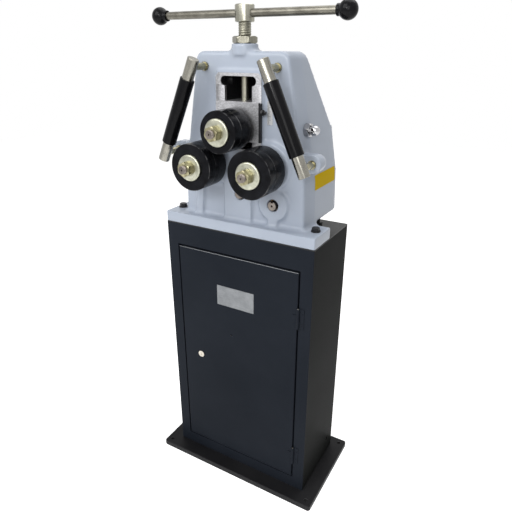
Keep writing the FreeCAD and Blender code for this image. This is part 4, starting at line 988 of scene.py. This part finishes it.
low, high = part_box("spindle_screw")
screw_axis = np.array([0.0, (low[1] + high[1]) / 2, 0.0])
slide_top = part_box("slide_block")[1][2]
thread_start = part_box("screw_bush")[0][2] - thread_below_bush
collar_top = slide_top - 0.00612
turn = np.linspace(0, 2 * math.pi, screw_columns, endpoint=False)[None, :]
rows = np.linspace(thread_start, high[2], screw_rows)[:, None]
cone = screw_radius - 0.0022 + np.minimum(rows - thread_start, 0.004)
ridge = screw_radius - screw_thread_depth + screw_thread_depth * thread_ridge(rows, turn, screw_pitch)
foot = np.array([(low[2], 0.0), (low[2], screw_tail - 0.001), (low[2] + 0.001, screw_tail),
                 (collar_top - 0.005, screw_tail), (collar_top - 0.005, screw_collar),
                 (collar_top, screw_collar), (collar_top, screw_tail), (thread_start, screw_tail)])
radius = np.vstack([np.repeat(foot[:, 1][:, None], screw_columns, axis=1), np.minimum(ridge, cone),
                    np.zeros((1, screw_columns))])
along = np.concatenate([foot[:, 0], rows[:, 0], [high[2]]])
spindle = closed_skin("pressure_screw_threaded", carried(along, radius, screw_axis, (0, 0, 1), screw_columns))
screw_steel = bright_metal("screw_steel", screw_dark, screw_light, 0.36, 0.0006, "XY")
fitted(spindle, screw_steel, "turned_steel", "spindle", "spindle_screw")

low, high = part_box("screw_bush")
body_top = high[2] - low[2] - head_height
face = bush_flats / 2 * 0.97
reach = bush_flats / 2 / math.cos(math.pi / 6)
cone = np.linspace(0, 1, 9)[:, None] * [bush_cone, reach - face] + [0, face]
bottom_cone = cone + [body_top, 0]
top_cone = (cone * [-1, 1] + [high[2] - low[2], 0])[::-1]
profile = np.vstack([[(0.0, bush_bore), (0.0, bush_body), (body_top, bush_body)], bottom_cone, top_cone,
                     [(high[2] - low[2], 0.0175), (high[2] - low[2] - 0.002, bush_bore)]])
turn = np.linspace(0, 2 * math.pi, nut_columns, endpoint=False)[None, :]
radius = np.minimum(profile[:, 1][:, None], hexagon_reach(turn, bush_flats, bush_twist))
bush = closed_skin("screw_bush_hexagon", carried(profile[:, 0], radius, screw_axis + (0, 0, low[2]),
                                                 (0, 0, 1), nut_columns))
bush_steel = bright_metal("bush_steel", bush_dark, bush_light, 0.24, 0.0020, "XY")
fitted(bush, bush_steel, "turned_steel", "frame", "screw_bush")
low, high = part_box("spindle_hub")
reach, height = (high[0] - low[0]) / 2, high[2] - low[2]
profile = eased([(0, 0), (0, reach - hub_edge), (hub_edge, reach), (height - hub_edge, reach),
                 (height, reach - hub_edge), (height, 0)], 0.0004)
hub = turned_piece("hub_turned", profile, screw_axis + (0, 0, low[2]), (0, 0, 1), nut_columns)
hub_steel = bright_metal("hub_steel", hub_dark, hub_light, 0.24, 0.0020, "XY")
fitted(hub, hub_steel, "turned_steel", "spindle", "spindle_hub")


# Tee bar
# A bar of bright drawn steel, driven through the hub and worn dark by hands in places.
bar_dark = (0.085, 0.080, 0.066)
bar_light = (0.21, 0.20, 0.17)
bar_columns = 64

bar_steel = bright_metal("bar_steel", bar_dark, bar_light, 0.36, 0.0010, "YZ")
low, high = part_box("tee_bar")
reach, length = (high[2] - low[2]) / 2, high[0] - low[0]
profile = eased([(0, 0), (0, reach), (length, reach), (length, 0)], 0.0008)
bar_start = (low[0], (low[1] + high[1]) / 2, (low[2] + high[2]) / 2)
tee = turned_piece("tee_bar_drawn", profile, bar_start, (1, 0, 0), bar_columns)
fitted(tee, bar_steel, "turned_steel", "spindle", "tee_bar")


# Ball knobs
# Moulded black plastic balls with a short neck, pushed onto the bar's ends. They are polished,
# so that they mirror the room.
ball_radius = 0.0208
ball_bore = 0.00903
ball_neck = 0.0125
ball_neck_length = 0.0240
ball_bore_depth = 0.0141
ball_columns = 72
plastic_black = (0.0025, 0.0025, 0.0030)
ball_scuffed = (0.008, 0.008, 0.009)


def moulded(name, low, high, roughness):
    """Moulded plastic with a polish: black, with faint scuffs and a slow drift in its gloss."""
    material, tree, shader, place = finish(name)
    shader.inputs["Specular IOR Level"].default_value = 0.10
    scuff = noise(tree, stretched(tree, place, (3.0, 1.0, 1.0)), 0.010, 6.0, 0.7)
    tree.links.new(shades(tree, scuff, [(0.35, low), (0.7, high)]), shader.inputs["Base Color"])
    polished(tree, shader, scuff, 0.35, 0.65, roughness - 0.05, roughness + 0.06)
    raise_grain(tree, shader, scuff, 0.00003, 0.4)
    return material


ball_plastic = moulded("ball_plastic", plastic_black, ball_scuffed, 0.14)
low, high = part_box("ball_knobs")
knobs = []
neck_turn = math.pi - math.asin((ball_neck + 0.0015) / ball_radius)
arc = np.linspace(neck_turn, 0, 40)[:, None]
ball = np.hstack([ball_radius * np.cos(arc), ball_radius * np.sin(arc)])
blend = eased([(-ball_neck_length, ball_bore), (-ball_neck_length, ball_neck),
               (ball[0, 0] - 0.0020, ball_neck), tuple(ball[0])], 0.0012, 5)[:-5]
profile = np.vstack([[(ball_bore_depth, 0.0), (ball_bore_depth, ball_bore)], blend, ball])
reach = min(high[0], -low[0]) - ball_radius
for end in (-1, 1):
    centre = (end * reach, (low[1] + high[1]) / 2, (low[2] + high[2]) / 2)
    knobs.append(carried(profile[:, 0], profile[:, 1], centre, (end, 0, 0), ball_columns))
fitted(closed_skin("ball_knobs_moulded", *knobs), ball_plastic, "ball_plastic", "spindle", "ball_knobs")


# Grips
# Two slanting bars of satin nickel steel stand off the casting on shouldered studs. A polished
# black plastic sleeve covers the middle of each, for the hands that carry the machine.
grip_top = (0.0915, -0.1290, 1.2220)
grip_bottom = (0.2015, -0.1290, 0.9770)
grip_bare_end = 0.0500
grip_radius = 0.0142
grip_edge = 0.0016
sleeve_radius = 0.0178
sleeve_bore = 0.01423
grip_bar_columns = 80
sleeve_columns = 96
satin_dark = (0.205, 0.198, 0.175)
satin_light = (0.31, 0.298, 0.258)
stud_dark = (0.20, 0.185, 0.115)
stud_light = (0.42, 0.39, 0.27)
sleeve_scuffed = (0.005, 0.005, 0.006)

nickel = bright_metal("satin_nickel", satin_dark, satin_light, 0.22, 0.0030, "XYZ", 0.000005)
stud_zinc = bright_metal("stud_zinc", stud_dark, stud_light, 0.24, 0.0020, "XZ")
dress(stud_zinc, "grip_studs")
sleeve_plastic = moulded("sleeve_plastic", plastic_black, sleeve_scuffed, 0.17)
for side, sign in (("left", -1), ("right", 1)):
    top = np.array(grip_top) * (sign, 1, 1)
    run = np.array(grip_bottom) * (sign, 1, 1) - top
    length = np.linalg.norm(run)
    middle = length - 2 * grip_bare_end
    profile = eased([(0, 0), (0, grip_radius), (length, grip_radius), (length, 0)], grip_edge)
    bar = turned_piece(side + "_grip_turned", profile, top, run, grip_bar_columns)
    fitted(bar, nickel, "nickel_steel", "frame", side + "_grip_bar")
    start = top + run / length * grip_bare_end
    profile = eased([(0, sleeve_bore), (0, sleeve_radius), (middle, sleeve_radius), (middle, sleeve_bore)],
                    0.0014, 6)
    sleeve = turned_piece(side + "_sleeve_moulded", profile, start, run, sleeve_columns)
    fitted(sleeve, sleeve_plastic, "grip_plastic", "frame", side + "_grip_sleeve")


# Studio
# A pale floor that runs into a white room, soft lamps from the front on both sides and from
# above, a small one near the camera, and the camera at the photograph's angle.
camera_place = (0.6444, -1.1116, 1.2444)
camera_turn = (90.0 - 23.05, -0.07, 30.07)
camera_lens = 34.37
floor_reach = 6.0
floor_shade = (0.93, 0.93, 0.93, 1.0)
floor_glow = 0.70
room_light = 0.34
lamp_white = (1.0, 1.0, 1.0)

bpy.context.scene.view_settings.view_transform = "Standard"
camera_data = bpy.data.cameras.new("studio_camera")
camera_data.sensor_width = 36.0
camera_data.lens = camera_lens
camera = bpy.data.objects.new("studio_camera", camera_data)
camera.location = camera_place
camera.rotation_euler = [math.radians(turn) for turn in camera_turn]
bpy.context.scene.collection.objects.link(camera)
bpy.context.scene.camera = camera

floor_mesh = bpy.data.meshes.new("studio_floor")
corners = [(-floor_reach, -floor_reach, 0), (floor_reach, -floor_reach, 0),
           (floor_reach, floor_reach, 0), (-floor_reach, floor_reach, 0)]
floor_mesh.from_pydata(corners, [], [(0, 1, 2, 3)])
floor = bpy.data.objects.new("studio_floor", floor_mesh)
bpy.context.scene.collection.objects.link(floor)
floor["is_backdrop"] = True
floor_finish, tree, shader, place = finish("studio_floor")
shader.inputs["Base Color"].default_value = floor_shade
shader.inputs["Roughness"].default_value = 0.9
shader.inputs["Specular IOR Level"].default_value = 0.0
shader.inputs["Emission Color"].default_value = (1.0, 1.0, 1.0, 1.0)


def seen_rays(tree):
    """1 for the rays that see the room: from the camera, off a gloss, or through glass."""
    ray = tree.nodes.new("ShaderNodeLightPath")
    seen = math_node(tree, "MAXIMUM", ray.outputs["Is Camera Ray"], ray.outputs["Is Glossy Ray"])
    return math_node(tree, "MAXIMUM", seen, ray.outputs["Is Transmission Ray"])


tree.links.new(math_node(tree, "MULTIPLY", seen_rays(tree), floor_glow), shader.inputs["Emission Strength"])
floor_mesh.materials.append(floor_finish)


def softbox(name, place, aim, width, height, power, colour):
    """A rectangular lamp at a place, turned to face a point."""
    lamp = bpy.data.lights.new(name, "AREA")
    lamp.shape = "RECTANGLE"
    lamp.size = width
    lamp.size_y = height
    lamp.energy = power
    lamp.color = colour
    stand = bpy.data.objects.new(name, lamp)
    stand.location = place
    towards = [target - start for start, target in zip(place, aim)]
    flat = math.hypot(towards[0], towards[1])
    heading = math.atan2(towards[1], towards[0]) - math.pi / 2
    stand.rotation_euler = (math.atan2(flat, -towards[2]), 0, heading)
    bpy.context.scene.collection.objects.link(stand)


softbox("key_light", (-0.8, -2.3, 2.7), (0, 0, 1.0), 2.2, 2.0, 60, lamp_white)
softbox("side_light", (1.1, -2.5, 1.9), (0, 0, 0.9), 1.2, 1.8, 24, lamp_white)
softbox("flash", (0.25, -1.9, 1.75), (0, 0, 1.0), 0.30, 0.30, 7, lamp_white)
softbox("top_light", (0.2, 0.6, 3.0), (0, 0, 1.0), 2.0, 2.0, 34, lamp_white)

world = bpy.data.worlds.new("studio")
bpy.context.scene.world = world
world.use_nodes = True
air = world.node_tree
backdrop = air.nodes["Background"]
air.links.new(spread(air, seen_rays(air), 0.0, 1.0, room_light, 1.0), backdrop.inputs["Strength"])
backdrop.inputs["Color"].default_value = (1, 1, 1, 1)

low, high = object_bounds()
